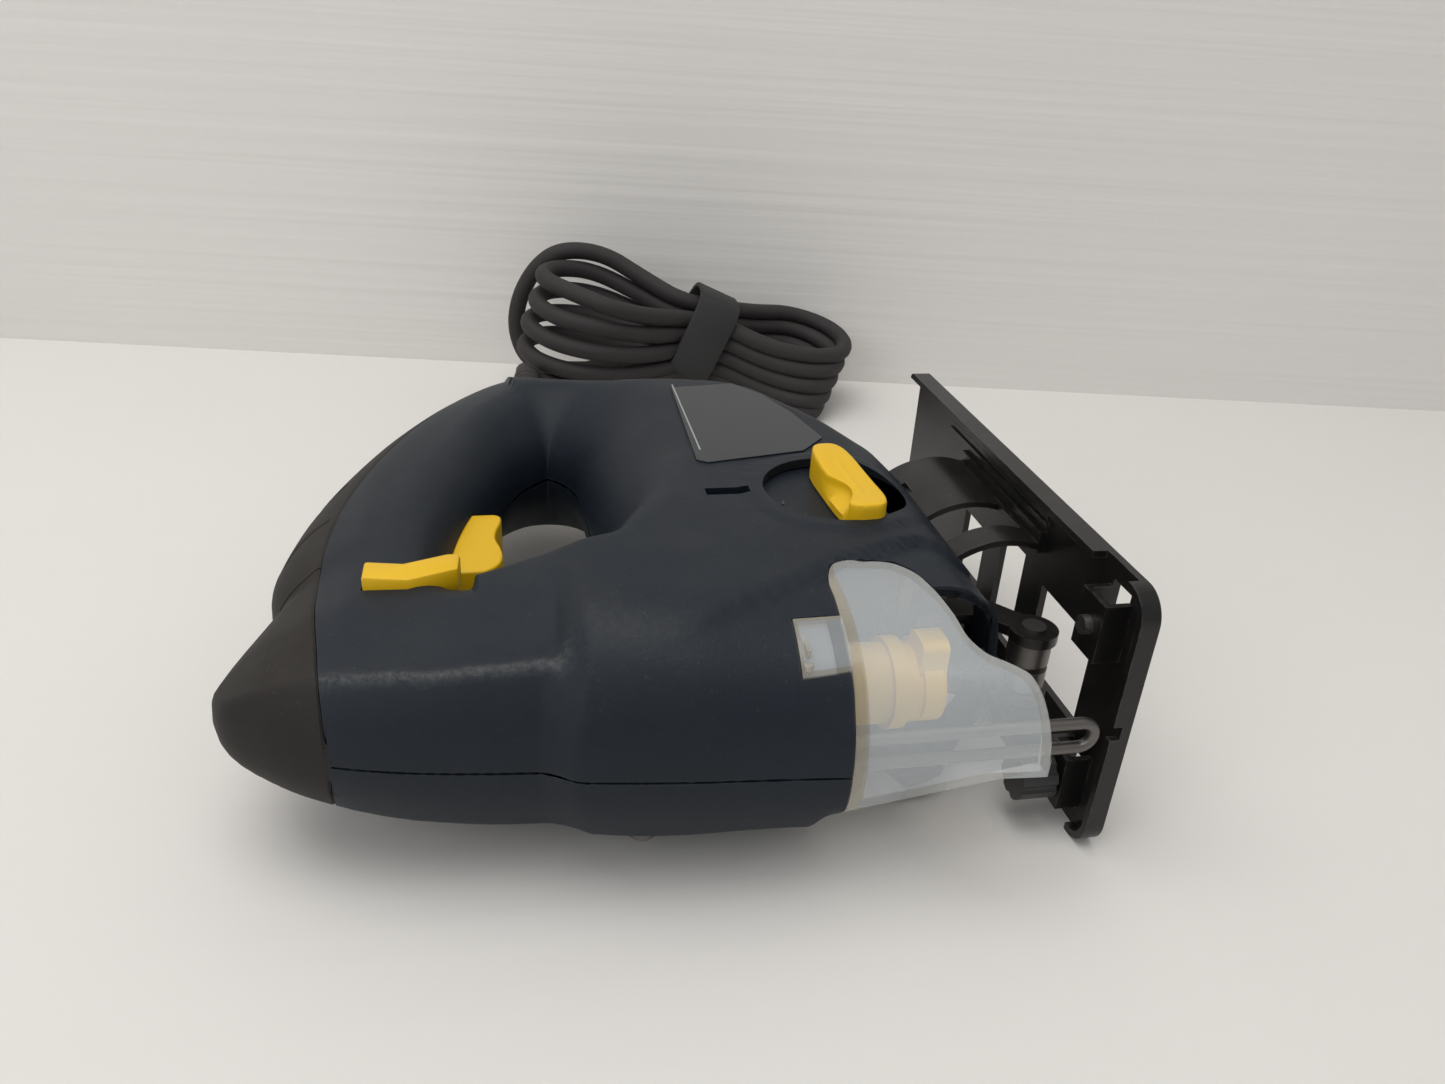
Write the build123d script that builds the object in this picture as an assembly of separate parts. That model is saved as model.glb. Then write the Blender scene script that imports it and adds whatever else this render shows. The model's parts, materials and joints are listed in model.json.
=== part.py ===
"""A corded jigsaw, lying on its right side as it is put down on a bench.

The row frame: +X points out of the sole of the shoe, +Y points to the rear of the tool and +Z
points up, out of the tool's left side. Z is 0 on the bench.

Sizes in the code are given the way the tool is measured: h is the height above the sole, d the
distance behind the front edge of the shoe, and w the distance to either side of the middle plane.
"""

from build123d import *
import os
from math import acos, asin, atan2, cos, degrees, hypot, pi, radians, sin, sqrt, tan

# ---------------------------------------------------------------- driving dimensions, millimetres

# the whole tool
TOOL_HEIGHT = 216.5          # sole to the tip of the nose
TOOL_FRONT = -13.0           # foremost point, on the clear guard
TOOL_REAR = 232.0            # rearmost point, on the grip
MID_Z = 38.0                 # height of the middle plane above the bench

# shells
WALL = 2.6                   # housing wall
RUBBER = 3.0                 # thickness of the soft grip over the handle
STEP_LAP = 4.0               # how far the thick wall under the grip's edge runs on
FIT = 0.05                   # radial clearance of running fits
SEAT = 0.1                   # clearance round parts that are laid into ribs
GAP = 0.3                    # clearance between parts that move past each other

# motor and gear train
MOTOR_H = 84.0               # height of the armature's axis
MODULE = 1.0
PINION_TEETH = 10
GEAR_TEETH = 50
GEAR_FACE = 8.0              # width of the drive gear
GEAR_D = 38.5                # front face of the drive gear
STROKE = 18.0
SHAFT_R = 4.0
BEARING_R = 11.0
BEARING_WIDTH = 7.0
CORE_R = 15.0
AIR_GAP = 0.5
CORE_D = 82.0                # front of the lamination stack
CORE_LENGTH = 40.0
FIELD_H = 28.0               # half height of the field stack
FIELD_W = 26.0               # half width of the field stack
COMMUTATOR_R = 10.5
COMMUTATOR_D = 138.0
COMMUTATOR_LENGTH = 14.0
FAN_R = 24.0
FAN_D = 61.0
FAN_WIDTH = 9.0
FAN_BLADES = 12
REAR_BEARING_D = 166.0

# gear case
CASE_D = 49.5                # front face of the gear case plate
CASE_THICK = 4.0
CASE_W = 27.0                # half width of the plate
SPINDLE_R = 4.0
CRANK_PIN_R = 3.0

# plunger and blade clamp
PLUNGER_D = 28.0             # the plunger's axis behind the front edge
PLUNGER_R = 4.5
BUSH_R = 7.5
BUSH_LENGTH = 10.0
CLAMP_TOP = 65.0             # upper end of the clamp collar at rest
CLAMP_LENGTH = 24.0
COLLAR_R = 10.5
COLLAR_BORE_R = 7.0
COLLAR_FLANGE_R = 12.0

# shoe
SHOE_LENGTH = 156.0
SHOE_WIDTH = 76.0
SHEET = 2.0
FLANGE_HEIGHT = 6.0
BEVEL_H = 13.0               # height of the bevel axis above the sole
VAULT_R = 26.0
VAULT_FRONT = 53.0
VAULT_REAR = 110.0
BEVEL_RANGE = 45.0
CLAMP_SCREW_D = 96.0

# pendulum arm and guide roller
ARM_PIVOT = (44.0, 46.0)     # h, d
ARM_KNEE = (22.0, 45.0)      # h, d
ROLLER_AT = (12.0, 33.0)     # h, d
ROLLER_R = 5.5
ARM_W = 10.5                 # half width over the arm's two ears
EAR = 3.0                    # thickness of one ear

# controls
DIAL = (58.0, 72.0)          # h, d of the orbital knob's axis
DIAL_R = 20.0
DIAL_DEPTH = 3.0
TRIGGER_TRAVEL = 5.0
LOCK_TRAVEL = 2.5

# cord
CORD_R = 4.0

# ---------------------------------------------------------------- places

SOLE_X = TOOL_HEIGHT / 2
MID_Y = (TOOL_FRONT + TOOL_REAR) / 2

CENTRE_DISTANCE = MODULE * (PINION_TEETH + GEAR_TEETH) / 2
GEAR_H = MOTOR_H + CENTRE_DISTANCE
CRANK_R = STROKE / 2


def at(h, d, w=0.0):
    """The row-frame point at height h, depth d and side distance w."""
    return (SOLE_X - h, d - MID_Y, MID_Z + w)


def y_of(d):
    return d - MID_Y


# ---------------------------------------------------------------- outlines

# Side outline of the closed form, from the tip of the nose down the front, along the underside and
# up the rear. Each run is a smooth curve or, with two points, a straight line.
OUTLINE = [
    [(216.5, 35), (213.5, 26), (203, 19), (189, 12.6), (162, 8), (135, 4)],
    [(135, 4), (127, 0.5), (100, -3.8), (73, -8), (48, -11), (28, -12.6)],
    [(28, -12.6), (24, 0), (23, 30)],
    [(23, 30), (22, 104)],
    [(22, 104), (33, 113), (41, 130), (50, 147), (60, 164), (68, 176)],
    [(68, 176), (84, 190), (98, 197), (112, 201), (125, 208), (136, 219), (143, 232)],
    [(143, 232), (159, 215), (177, 189), (189, 166), (198, 139), (204, 113), (207, 88)],
    [(207, 88), (208, 74), (211, 60), (214.5, 46), (216.5, 35)],
]

# The handle's opening, as seen from the side.
OPENING = [
    [(157, 58), (161, 66), (161.5, 84), (158, 106), (149, 132), (140, 151), (133, 158)],
    [(133, 158), (127, 151), (123, 128), (121.5, 100), (122, 78), (125, 62)],
    [(125, 62), (157, 58)],
]

# Half width of the closed form against height, and against depth.
WIDTH_BY_HEIGHT = [
    (20, 15), (24, 19), (37, 31), (46, 34.5), (116, 34.5), (130, 33), (137, 30), (150, 26),
    (166, 22), (186, 21), (196, 18.5), (204, 15), (211, 11), (220, 5),
]
WIDTH_BY_DEPTH = [
    (-15, 6), (-8, 13), (-4, 20), (0, 25), (4, 27.5), (12, 30.5), (25, 33), (42, 34.5), (150, 34.5),
    (170, 32), (190, 27), (205, 22.5), (220, 17), (236, 9),
]

# Where the soft grip ends on the handle's side.
GRIP_EDGE = [
    (140, 236), (150, 211), (164, 186), (177, 160), (187, 130), (193, 103), (195, 77), (194, 54),
    (190, 26), (187, 4),
]
NOSE_SEAM_D = 69.0

# Side outline of the clear guard: a tab, the wing on the housing's side and the nose.
GUARD_TOP = 73.0
GUARD_OUTLINE = [
    (GUARD_TOP, -20), (GUARD_TOP, 0), (87, 0), (87, 12), (GUARD_TOP, 12), (71, 31), (61, 34.5),
    (52, 34), (46.5, 21), (46, 6), (42, -3), (34, -7), (27.5, -9), (27, -20),
]
GUARD_WALL = 2.0


def closed_points(runs):
    """All corners of an outline once, in order."""
    return [point for run in runs for point in run[:-1]]


def inset_points(points, distance):
    """The corners of a closed polygon moved inwards by a distance, to the left of travel."""
    moved = []
    count = len(points)
    area = sum(points[i][0] * points[(i + 1) % count][1] - points[(i + 1) % count][0] * points[i][1]
               for i in range(count))
    side = distance if area > 0 else -distance
    for i in range(count):
        before, here, after = points[i - 1], points[i], points[(i + 1) % count]
        ax, ay = here[0] - before[0], here[1] - before[1]
        bx, by = after[0] - here[0], after[1] - here[1]
        la, lb = hypot(ax, ay), hypot(bx, by)
        nx, ny = -ay / la - by / lb, ax / la + bx / lb
        scale = 2 / (nx * nx + ny * ny)
        moved.append((here[0] + side * nx * scale, here[1] + side * ny * scale))
    return moved


def inset_runs(runs, distance):
    """An outline moved inwards by a distance, with the same runs."""
    moved = inset_points(closed_points(runs), distance)
    result, start = [], 0
    for run in runs:
        steps = len(run) - 1
        result.append([moved[(start + i) % len(moved)] for i in range(steps + 1)])
        start += steps
    return result


def runs_face(runs, w):
    """The face inside an outline, at side distance w."""
    edges = []
    for run in runs:
        places = [at(h, d, w) for h, d in run]
        edges.append(Line(*places) if len(places) == 2 else Spline(*places))
    return make_face(Wire(edges))


def side_prism(points, w0, w1):
    """A polygon in height and depth, carried from w0 to w1."""
    face = make_face(Polyline(*[at(h, d, w0) for h, d in points], close=True))
    return extrude(face, amount=w1 - w0, dir=(0, 0, 1))


def runs_prism(runs, w0, w1):
    return extrude(runs_face(runs, w0), amount=w1 - w0, dir=(0, 0, 1))


def depth_prism(points, d0, d1):
    """A polygon in height and side distance, carried from d0 to d1."""
    face = make_face(Polyline(*[at(h, d0, w) for h, w in points], close=True))
    return extrude(face, amount=d1 - d0, dir=(0, 1, 0))


def height_prism(points, h0, h1):
    """A polygon in depth and side distance, carried from height h0 to h1."""
    face = make_face(Polyline(*[at(h1, d, w) for d, w in points], close=True))
    return extrude(face, amount=h1 - h0, dir=(1, 0, 0))


def block(h0, h1, d0, d1, w0, w1):
    """A box between two heights, two depths and two side distances."""
    low, high = at(h1, d0, w0), at(h0, d1, w1)
    size = [high[i] - low[i] for i in range(3)]
    return Pos(*[(high[i] + low[i]) / 2 for i in range(3)]) * Box(*size)


def rod_y(h, w, r, d0, d1):
    """A cylinder along the tool's length."""
    return Pos(*at(h, (d0 + d1) / 2, w)) * Rot(90, 0, 0) * Cylinder(r, d1 - d0)


def rod_x(d, w, r, h0, h1):
    """A cylinder along the tool's height."""
    return Pos(*at((h0 + h1) / 2, d, w)) * Rot(0, 90, 0) * Cylinder(r, h1 - h0)


def rod_z(h, d, r, w0, w1):
    """A cylinder across the tool."""
    return Pos(*at(h, d, (w0 + w1) / 2)) * Cylinder(r, w1 - w0)


def mirrored(solid):
    """The same solid on the other side of the middle plane."""
    return mirror(solid, Plane(origin=(0, 0, MID_Z), z_dir=(0, 0, 1)))


SPAN = 40.0                  # more than half the tool's width
LEAST_WIDTH = 1.0            # what is left of a half width where the walls meet


def width_limits(inset):
    """The closed form's two width profiles, made smaller by inset."""
    rows = [(h, max(w - inset, LEAST_WIDTH)) for h, w in WIDTH_BY_HEIGHT]
    columns = [(d, max(w - inset, LEAST_WIDTH)) for d, w in WIDTH_BY_DEPTH]
    by_height = depth_prism(rows + [(h, -w) for h, w in reversed(rows)], TOOL_FRONT - 10, TOOL_REAR + 10)
    by_depth = height_prism(columns + [(d, -w) for d, w in reversed(columns)], 0, TOOL_HEIGHT + 5)
    return by_height & by_depth


def closed_form(inset):
    """The tool's outer form without its opening, every wall moved in by inset."""
    return runs_prism(inset_runs(OUTLINE, inset), -SPAN, SPAN) & width_limits(inset)


def opening_cut(grow):
    """The handle's opening, grown into the walls by grow."""
    return runs_prism(inset_runs(OPENING, -grow), -SPAN, SPAN)


def grip_region(shift):
    """Everything outside the grip's edge, with the edge moved inwards by shift."""
    edge = [(h - shift, d - 0.3 * shift) for h, d in GRIP_EDGE]
    far = [(TOOL_HEIGHT + 20, 4), (TOOL_HEIGHT + 20, 250), (edge[0][0], 250)]
    face_edges = [Spline(*[at(h, d, -SPAN) for h, d in edge])]
    corners = [edge[-1]] + far + [edge[0]]
    face_edges.append(Polyline(*[at(h, d, -SPAN) for h, d in corners]))
    return extrude(make_face(Wire([e for part in face_edges for e in part.edges()])), amount=2 * SPAN, dir=(0, 0, 1))


def build_forms():
    """The outer form and the forms inside it that the shells share."""
    outer = closed_form(0) - opening_cut(0)
    under_grip = closed_form(RUBBER) - opening_cut(RUBBER)
    rubber = (outer - under_grip) & grip_region(0)
    thin = (closed_form(WALL) - opening_cut(WALL)) - grip_region(STEP_LAP)
    thick = closed_form(RUBBER + WALL) - opening_cut(RUBBER + WALL)
    return outer, rubber, thin + thick



def interpolate(rows, place):
    """The value at a place along a list of (place, value) pairs."""
    for (a, wa), (b, wb) in zip(rows, rows[1:]):
        if a <= place <= b:
            return wa + (wb - wa) * (place - a) / (b - a)
    raise ValueError(f"{place} lies outside the profile")


def half_width(h, d):
    """Half the closed form's width at a place on its side."""
    return min(interpolate(WIDTH_BY_HEIGHT, h), interpolate(WIDTH_BY_DEPTH, d))


def grown(points, distance):
    return inset_points(points, -distance)


# ---------------------------------------------------------------- housing

# The chamber at the lower front where the blade clamp runs, open at the front and below.
CHAMBER_TOP = GUARD_TOP + GAP
CHAMBER = [(CHAMBER_TOP, -25), (CHAMBER_TOP, 43), (54, 43), (54, 52.3), (15, 52.3), (15, -25)]
# The front of the housing's side walls, which leaves the clear guard its room.
NOTCH = [
    (CHAMBER_TOP, -25), (CHAMBER_TOP, 12 + GAP), (71.3, 31.4), (61.2, 34.5 + GAP), (51.6, 34 + GAP),
    (44, 22.5), (36, 23), (29, 29), (15, 31), (15, -25),
]
TAB = [(GUARD_TOP, -3), (87 + GAP, -3), (87 + GAP, 12 + GAP), (GUARD_TOP, 12 + GAP)]
SCREWS = [(196, 42), (159, 19), (118, 11), (64, 158), (112, 180), (160, 182), (50, 62), (49, 130)]
SCREW_BOSS_R = 5.6
SCREW_R = 1.9
SCREW_HEAD_R = 3.5
SCREW_HEAD = 2.5
SCREW_SINK = 5.0             # depth of the screw seats below the right side
SCREW_REACH = 10.0           # how far a screw runs into the left shell
RIB = 3.0
FIELD_RIBS_D = (87.0, 115.0)
SWITCH = (172.5, 191.0, 68.0, 108.0)   # h low, h high, d low, d high
SWITCH_W = 9.0
SWITCH_RIBS_D = (74.0, 100.0)
LABEL = [(91, 158), (68, 160), (61, 146), (54, 124), (50, 112), (52, 99), (66, 97.5), (92, 98)]
LABEL_THICK = 0.8
SIDE_SLOT = (80.6, 93.0, 76.0, 78.6)   # h low, h high, d low, d high
VENTS = 4
VENT_D = 175.5
VENT_PITCH = 4.6
VENT_WIDTH = 2.2
CORD_H = 137.0
RELIEF_R = 6.0
RELIEF_D = 222.0             # inner end of the cord's strain relief
RELIEF_END_D = 262.0
WIRE_R = 1.5
WIRE_W = 3.6                 # half distance between the wire guard's legs
WIRE_D = 1.0
WIRE_TOP = 84.0
WIRE_LOW = 13.0              # height of the centre of the wire's bend
DIAL_SHAFT_R = 4.0
HOLDER = (6.5, 6.5)          # half size of a brush holder along the height and the length
HOLDER_W = (12.0, 27.0)
BRUSH = 4.0                  # half side of a carbon brush
CASE_OUTLINE = [
    (62, -CASE_W), (138, -CASE_W), (139, -19), (154, -17), (154, 17), (139, 19), (138, CASE_W), (62, CASE_W),
]
ARM_PIN_R = 2.5
TRIGGER_SLOT = (79.3, 112.3)
TRIGGER_W = 6.8
LOCK_OUTLINE = [(183, 61), (183, 51), (171, 48.5), (159.5, 53), (159.5, 62), (163, 63), (172, 58.5)]
LOCK_W = (16.0, 25.5)
LOCK_FLANGE = 2.0
ROD_TOP = 174.0              # upper end of the plunger at rest
LOWER_BLOCK = (76.3, 86.3)   # h low and high of the gear case's blocks round the plunger
UPPER_BLOCK = (142.0, 152.0)
COMMUTATOR_MID = COMMUTATOR_D + COMMUTATOR_LENGTH / 2


def housing_ribs(cavity):
    """The walls inside the shells that carry the bearing, the motor, the gear case and the switch."""
    bearing_web = block(MOTOR_H - 30, MOTOR_H + 22, REAR_BEARING_D, REAR_BEARING_D + BEARING_WIDTH, -SPAN, SPAN)
    ribs = (cavity & bearing_web) - rod_y(MOTOR_H, 0, BEARING_R, REAR_BEARING_D - 1, REAR_BEARING_D + 8)
    field = block(MOTOR_H - FIELD_H - SEAT, MOTOR_H + FIELD_H + SEAT, CORE_D - 1, CORE_D + CORE_LENGTH + 1,
                  -FIELD_W - SEAT, FIELD_W + SEAT)
    for d in FIELD_RIBS_D:
        ribs += (cavity & block(40, 120, d, d + RIB, -SPAN, SPAN)) - field
    case_slot = depth_prism(grown(CASE_OUTLINE, SEAT), CASE_D - 2, CASE_D + CASE_THICK + 2)
    ribs += (cavity & block(60, 158, CASE_D + 0.4, CASE_D + CASE_THICK - 0.4, -SPAN, SPAN)) - case_slot
    switch_room = block(SWITCH[0] - SEAT, SWITCH[1] + SEAT, 60, 120, -SWITCH_W - SEAT, SWITCH_W + SEAT)
    trigger_room = block(150, SWITCH[0] + SEAT, 60, 125, -SWITCH_W - SEAT, SWITCH_W + SEAT)
    for d in SWITCH_RIBS_D:
        ribs += (cavity & block(163, 203, d, d + RIB, -SPAN, SPAN)) - switch_room - trigger_room
    low, high = HOLDER_W
    brush_rib = block(MOTOR_H - 14, MOTOR_H + 14, COMMUTATOR_MID - 2, COMMUTATOR_MID + 2, low + 6, SPAN)
    holder = block(MOTOR_H - HOLDER[0] - SEAT, MOTOR_H + HOLDER[0] + SEAT, COMMUTATOR_MID - HOLDER[1] - SEAT,
                   COMMUTATOR_MID + HOLDER[1] + SEAT, low, high + SEAT)
    one_side = (cavity & brush_rib) - holder
    return ribs + one_side + mirrored(one_side)


def housing_bosses(cavity):
    """Bosses for the housing's screws, the shoe's clamp screw, the dial and the wire guard."""
    bosses = cavity & Compound([rod_z(h, d, SCREW_BOSS_R, -SPAN, SPAN) for h, d in SCREWS])
    clamp_boss = rod_x(CLAMP_SCREW_D, 0, 7, 37, MOTOR_H - FIELD_H - 0.6)
    floor = half_width(*DIAL) - DIAL_DEPTH
    dial_boss = rod_z(*DIAL, DIAL_R + WALL, floor - WALL, floor + DIAL_DEPTH)
    wire_boss = block(CHAMBER_TOP, WIRE_TOP + 2, WIRE_D - 5, WIRE_D + 4, -WIRE_W - 4, WIRE_W + 4)
    tab_backing = block(CHAMBER_TOP, 91, -12, 15.5, 19, SPAN)
    solids = (cavity & clamp_boss) + (cavity & dial_boss) + (cavity & wire_boss)
    return bosses + solids + (cavity & tab_backing) + (cavity & mirrored(tab_backing))


def screw_seat(h, d):
    """Side distance of the face a housing screw's head sits on."""
    return -(half_width(h, d) - SCREW_SINK)


def lock_flange(clearance):
    """The flange that keeps the lock button in the left shell, or its pocket."""
    low, high = LOCK_W[0] - clearance, LOCK_W[0] + LOCK_FLANGE + clearance
    reach = block(161 - clearance, 190, 40, 61 + clearance, low, high)
    return side_prism(grown(LOCK_OUTLINE, 1.0 + clearance), low, high) & reach


def make_housing():
    """Both shells and the soft grip, as (left, right, grip, nose)."""
    outer, rubber, cavity = build_forms()
    chamber_shell = side_prism(grown(CHAMBER, WALL), -SPAN, SPAN)
    saddle_shell = rod_y(BEVEL_H, 0, VAULT_R + GAP + WALL, 40, TOOL_REAR)
    cavity = cavity - chamber_shell - saddle_shell
    body = (outer - rubber) - cavity
    body = body + housing_ribs(cavity) + housing_bosses(cavity)
    chamber = (width_limits(WALL) & side_prism(CHAMBER, -SPAN, SPAN))
    body = body - chamber - side_prism(NOTCH, -SPAN, SPAN)
    body = body - rod_y(BEVEL_H, 0, VAULT_R + GAP, 40, TOOL_REAR)
    tab_pocket = (outer - closed_form(GUARD_WALL + GAP)) & side_prism(TAB, -SPAN, SPAN)
    body = body - tab_pocket
    pivot_h, pivot_d = ARM_PIVOT
    pivot_boss = rod_z(pivot_h, pivot_d, 5.0, ARM_W + GAP, SPAN) & width_limits(0.5)
    body = body + pivot_boss + mirrored(pivot_boss)
    body = body - rod_z(pivot_h, pivot_d, ARM_PIN_R, -22, 22)

    for h, d in SCREWS:
        seat = screw_seat(h, d)
        body = body - rod_z(h, d, SCREW_HEAD_R + 0.4, -SPAN - 5, seat)
        body = body - rod_z(h, d, SCREW_R + FIT, seat, SCREW_REACH)
    body = body - rod_x(CLAMP_SCREW_D, 0, 3 + FIT, 30, 54.5)
    floor = half_width(*DIAL) - DIAL_DEPTH
    body = body - rod_z(*DIAL, DIAL_R, floor, SPAN) - rod_z(*DIAL, DIAL_SHAFT_R + FIT, 20, SPAN)
    label_w = half_width(80, 120)
    body = body - side_prism(grown(LABEL, SEAT), label_w - LABEL_THICK, SPAN)
    low_h, high_h, low_d, high_d = SIDE_SLOT
    body = body - block(low_h, high_h, low_d, high_d, 26, SPAN)
    for i in range(VENTS):
        d = VENT_D + i * VENT_PITCH
        vent = block(76 + 2 * i, 99, d, d + VENT_WIDTH, 14, SPAN)
        body = body - vent - mirrored(vent)
    slot_low, slot_high = TRIGGER_SLOT
    body = body - block(152, 166, slot_low, slot_high, -TRIGGER_W - GAP, TRIGGER_W + GAP)
    body = body - side_prism(grown(LOCK_OUTLINE, GAP), LOCK_W[0] - 3, SPAN)
    body = body - lock_flange(GAP)
    body = body - rod_x(PLUNGER_D, 0, PLUNGER_R + 1, CHAMBER_TOP - 1, ROD_TOP + 1)
    relief = rod_y(CORD_H, 0, RELIEF_R, RELIEF_D - 20, TOOL_REAR + 5)
    collar = rod_y(CORD_H, 0, RELIEF_R + 2, RELIEF_D - 22, RELIEF_D - 10)
    body = body - relief - collar
    for side in (-1, 1):
        body = body - rod_x(WIRE_D, side * WIRE_W, WIRE_R, CHAMBER_TOP - 1, WIRE_TOP)

    left = body & block(-10, TOOL_HEIGHT + 10, -40, TOOL_REAR + 20, 0, SPAN + 5)
    right = body & block(-10, TOOL_HEIGHT + 10, -40, TOOL_REAR + 20, -SPAN - 5, 0)
    rubber = rubber - relief
    for h, d in SCREWS:
        rubber = rubber - rod_z(h, d, SCREW_HEAD_R + 0.4, -SPAN - 5, screw_seat(h, d))
    nose = rubber & block(150, TOOL_HEIGHT + 10, -20, NOSE_SEAM_D, -SPAN, SPAN)
    grip = rubber & block(120, TOOL_HEIGHT + 10, NOSE_SEAM_D, TOOL_REAR + 20, -SPAN, SPAN)
    return left, right, grip, nose


def largest(shape):
    """The largest solid of a shape, without stray crumbs."""
    return max(shape.solids(), key=lambda solid: solid.volume)



# ---------------------------------------------------------------- clear guard and wire guard

def make_blade_guard():
    """The clear cover: the closed form's skin within the guard's outline."""
    skin = closed_form(0) - closed_form(GUARD_WALL)
    tab = side_prism([(GUARD_TOP - 1, -20), (88, -20), (88, 13), (GUARD_TOP - 1, 13)], -24, 24)
    return largest((skin & side_prism(GUARD_OUTLINE, -SPAN, SPAN)) - tab)


def make_wire_guard():
    """A bent wire in front of the blade: two legs and a round end."""
    legs = [at(WIRE_TOP, WIRE_D, WIRE_W), at(WIRE_LOW, WIRE_D, WIRE_W)]
    end = ThreePointArc(at(WIRE_LOW, WIRE_D, WIRE_W), at(WIRE_LOW - WIRE_W, WIRE_D, 0), at(WIRE_LOW, WIRE_D, -WIRE_W))
    back = Line(at(WIRE_LOW, WIRE_D, -WIRE_W), at(WIRE_TOP, WIRE_D, -WIRE_W))
    path = Wire([Line(*legs), end, back])
    section = Plane(origin=at(WIRE_TOP, WIRE_D, WIRE_W), z_dir=(1, 0, 0)) * Circle(WIRE_R)
    return sweep(section, path=path)


# ---------------------------------------------------------------- motor

def gear_outline(teeth, tip, root, thinner, turned):
    """Corners of a spur gear's section: involute flanks from the root to the tip circle."""
    pitch_r = MODULE * teeth / 2
    base_r = pitch_r * cos(radians(20))
    flank_steps = 4
    low_r = max(base_r, root)

    def involute(r):
        roll = sqrt(max((r / base_r) ** 2 - 1, 0))
        return roll - atan2(roll, 1)

    half_tooth = pi / (2 * teeth) - thinner / (2 * pitch_r) + involute(pitch_r)
    points = []
    for tooth in range(teeth):
        middle = turned + 2 * pi * tooth / teeth
        flank = []
        for i in range(flank_steps + 1):
            r = low_r + (tip - low_r) * i / flank_steps
            flank.append((r, half_tooth - involute(r)))
        if root < base_r:
            flank.insert(0, (root, flank[0][1]))
        points += [(r, middle - a) for r, a in flank]
        points += [(r, middle + a) for r, a in reversed(flank)]
    return [(r * cos(a), r * sin(a)) for r, a in points]


def gear_solid(teeth, tip, root, turned, h, d0, d1):
    """A spur gear about an axis along the tool's length."""
    corners = gear_outline(teeth, tip, root, TOOTH_CLEARANCE, turned)
    return depth_prism([(h + up, w) for up, w in corners], d0, d1)


TOOTH_CLEARANCE = 0.12       # how much thinner each tooth is than half the pitch
PINION_TIP = MODULE * (PINION_TEETH / 2 + 0.9)
PINION_ROOT = MODULE * (PINION_TEETH / 2 - 1.1)
GEAR_TIP = MODULE * (GEAR_TEETH / 2 + 0.6)
GEAR_ROOT = MODULE * (GEAR_TEETH / 2 - 1.2)


def make_armature_shaft():
    """The motor shaft with its pinion, cut on the front end."""
    pinion = gear_solid(PINION_TEETH, PINION_TIP, PINION_ROOT, 0, MOTOR_H, GEAR_D, GEAR_D + GEAR_FACE + 1)
    front, rear = GEAR_D + GEAR_FACE + 1, REAR_BEARING_D + BEARING_WIDTH + 1
    return pinion + rod_y(MOTOR_H, 0, SHAFT_R, front, rear)


def on_shaft(r, d0, d1):
    """A sleeve pressed on the motor shaft."""
    return rod_y(MOTOR_H, 0, r, d0, d1) - rod_y(MOTOR_H, 0, SHAFT_R, d0 - 1, d1 + 1)


def make_armature_core():
    """The lamination stack, with a slot for each coil."""
    core = on_shaft(CORE_R, CORE_D, CORE_D + CORE_LENGTH)
    slots = 12
    slot = block(MOTOR_H + CORE_R - 3.5, MOTOR_H + CORE_R + 1, CORE_D - 1, CORE_D + CORE_LENGTH + 1, -0.9, 0.9)
    axis = Axis(at(MOTOR_H, 0), (0, 1, 0))
    for i in range(slots):
        core = core - slot.rotate(axis, 360 * i / slots)
    return core


END_TURNS = 7.0              # length of the armature's end turns
END_TURN_R = 11.0


def make_armature_windings():
    """The coils' end turns at both ends of the stack."""
    front = on_shaft(END_TURN_R, CORE_D - END_TURNS, CORE_D)
    rear = on_shaft(END_TURN_R, CORE_D + CORE_LENGTH, CORE_D + CORE_LENGTH + END_TURNS)
    return Compound([front.solid(), rear.solid()])


def make_commutator():
    segments = 24
    ring = on_shaft(COMMUTATOR_R, COMMUTATOR_D, COMMUTATOR_D + COMMUTATOR_LENGTH)
    cut = block(MOTOR_H + COMMUTATOR_R - 1, MOTOR_H + COMMUTATOR_R + 1, COMMUTATOR_D + 3,
                COMMUTATOR_D + COMMUTATOR_LENGTH + 1, -0.2, 0.2)
    axis = Axis(at(MOTOR_H, 0), (0, 1, 0))
    for i in range(segments):
        ring = ring - cut.rotate(axis, 360 * i / segments)
    return ring


def make_fan():
    """A hub, a back disc and straight blades."""
    disc_thick, hub_r, blade_thick = 1.6, 7.0, 1.4
    rear = FAN_D + FAN_WIDTH
    fan = rod_y(MOTOR_H, 0, hub_r, FAN_D, rear) + rod_y(MOTOR_H, 0, FAN_R, rear - disc_thick, rear)
    blade = block(MOTOR_H + hub_r - 1, MOTOR_H + FAN_R - 0.5, FAN_D, rear - disc_thick + 0.5,
                  -blade_thick / 2, blade_thick / 2)
    axis = Axis(at(MOTOR_H, 0), (0, 1, 0))
    for i in range(FAN_BLADES):
        fan = fan + blade.rotate(axis, 360 * i / FAN_BLADES)
    return fan - rod_y(MOTOR_H, 0, SHAFT_R, FAN_D - 1, rear + 1)


def bearing(d):
    """A sealed ball bearing as one ring, with running clearance on the shaft."""
    ring = rod_y(MOTOR_H, 0, BEARING_R, d, d + BEARING_WIDTH)
    seal = rod_y(MOTOR_H, 0, BEARING_R - 2, d - 1, d + 0.5) - rod_y(MOTOR_H, 0, SHAFT_R + 2, d - 1, d + 0.5)
    return ring - rod_y(MOTOR_H, 0, SHAFT_R + FIT, d - 1, d + BEARING_WIDTH + 1) - seal


COIL_H = (12.0, 20.0)        # where the field coils' sides lie above and below the axis
COIL_W = (17.0, 22.0)
COIL_END = 9.0               # how far the coils stand out of the stack


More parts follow.
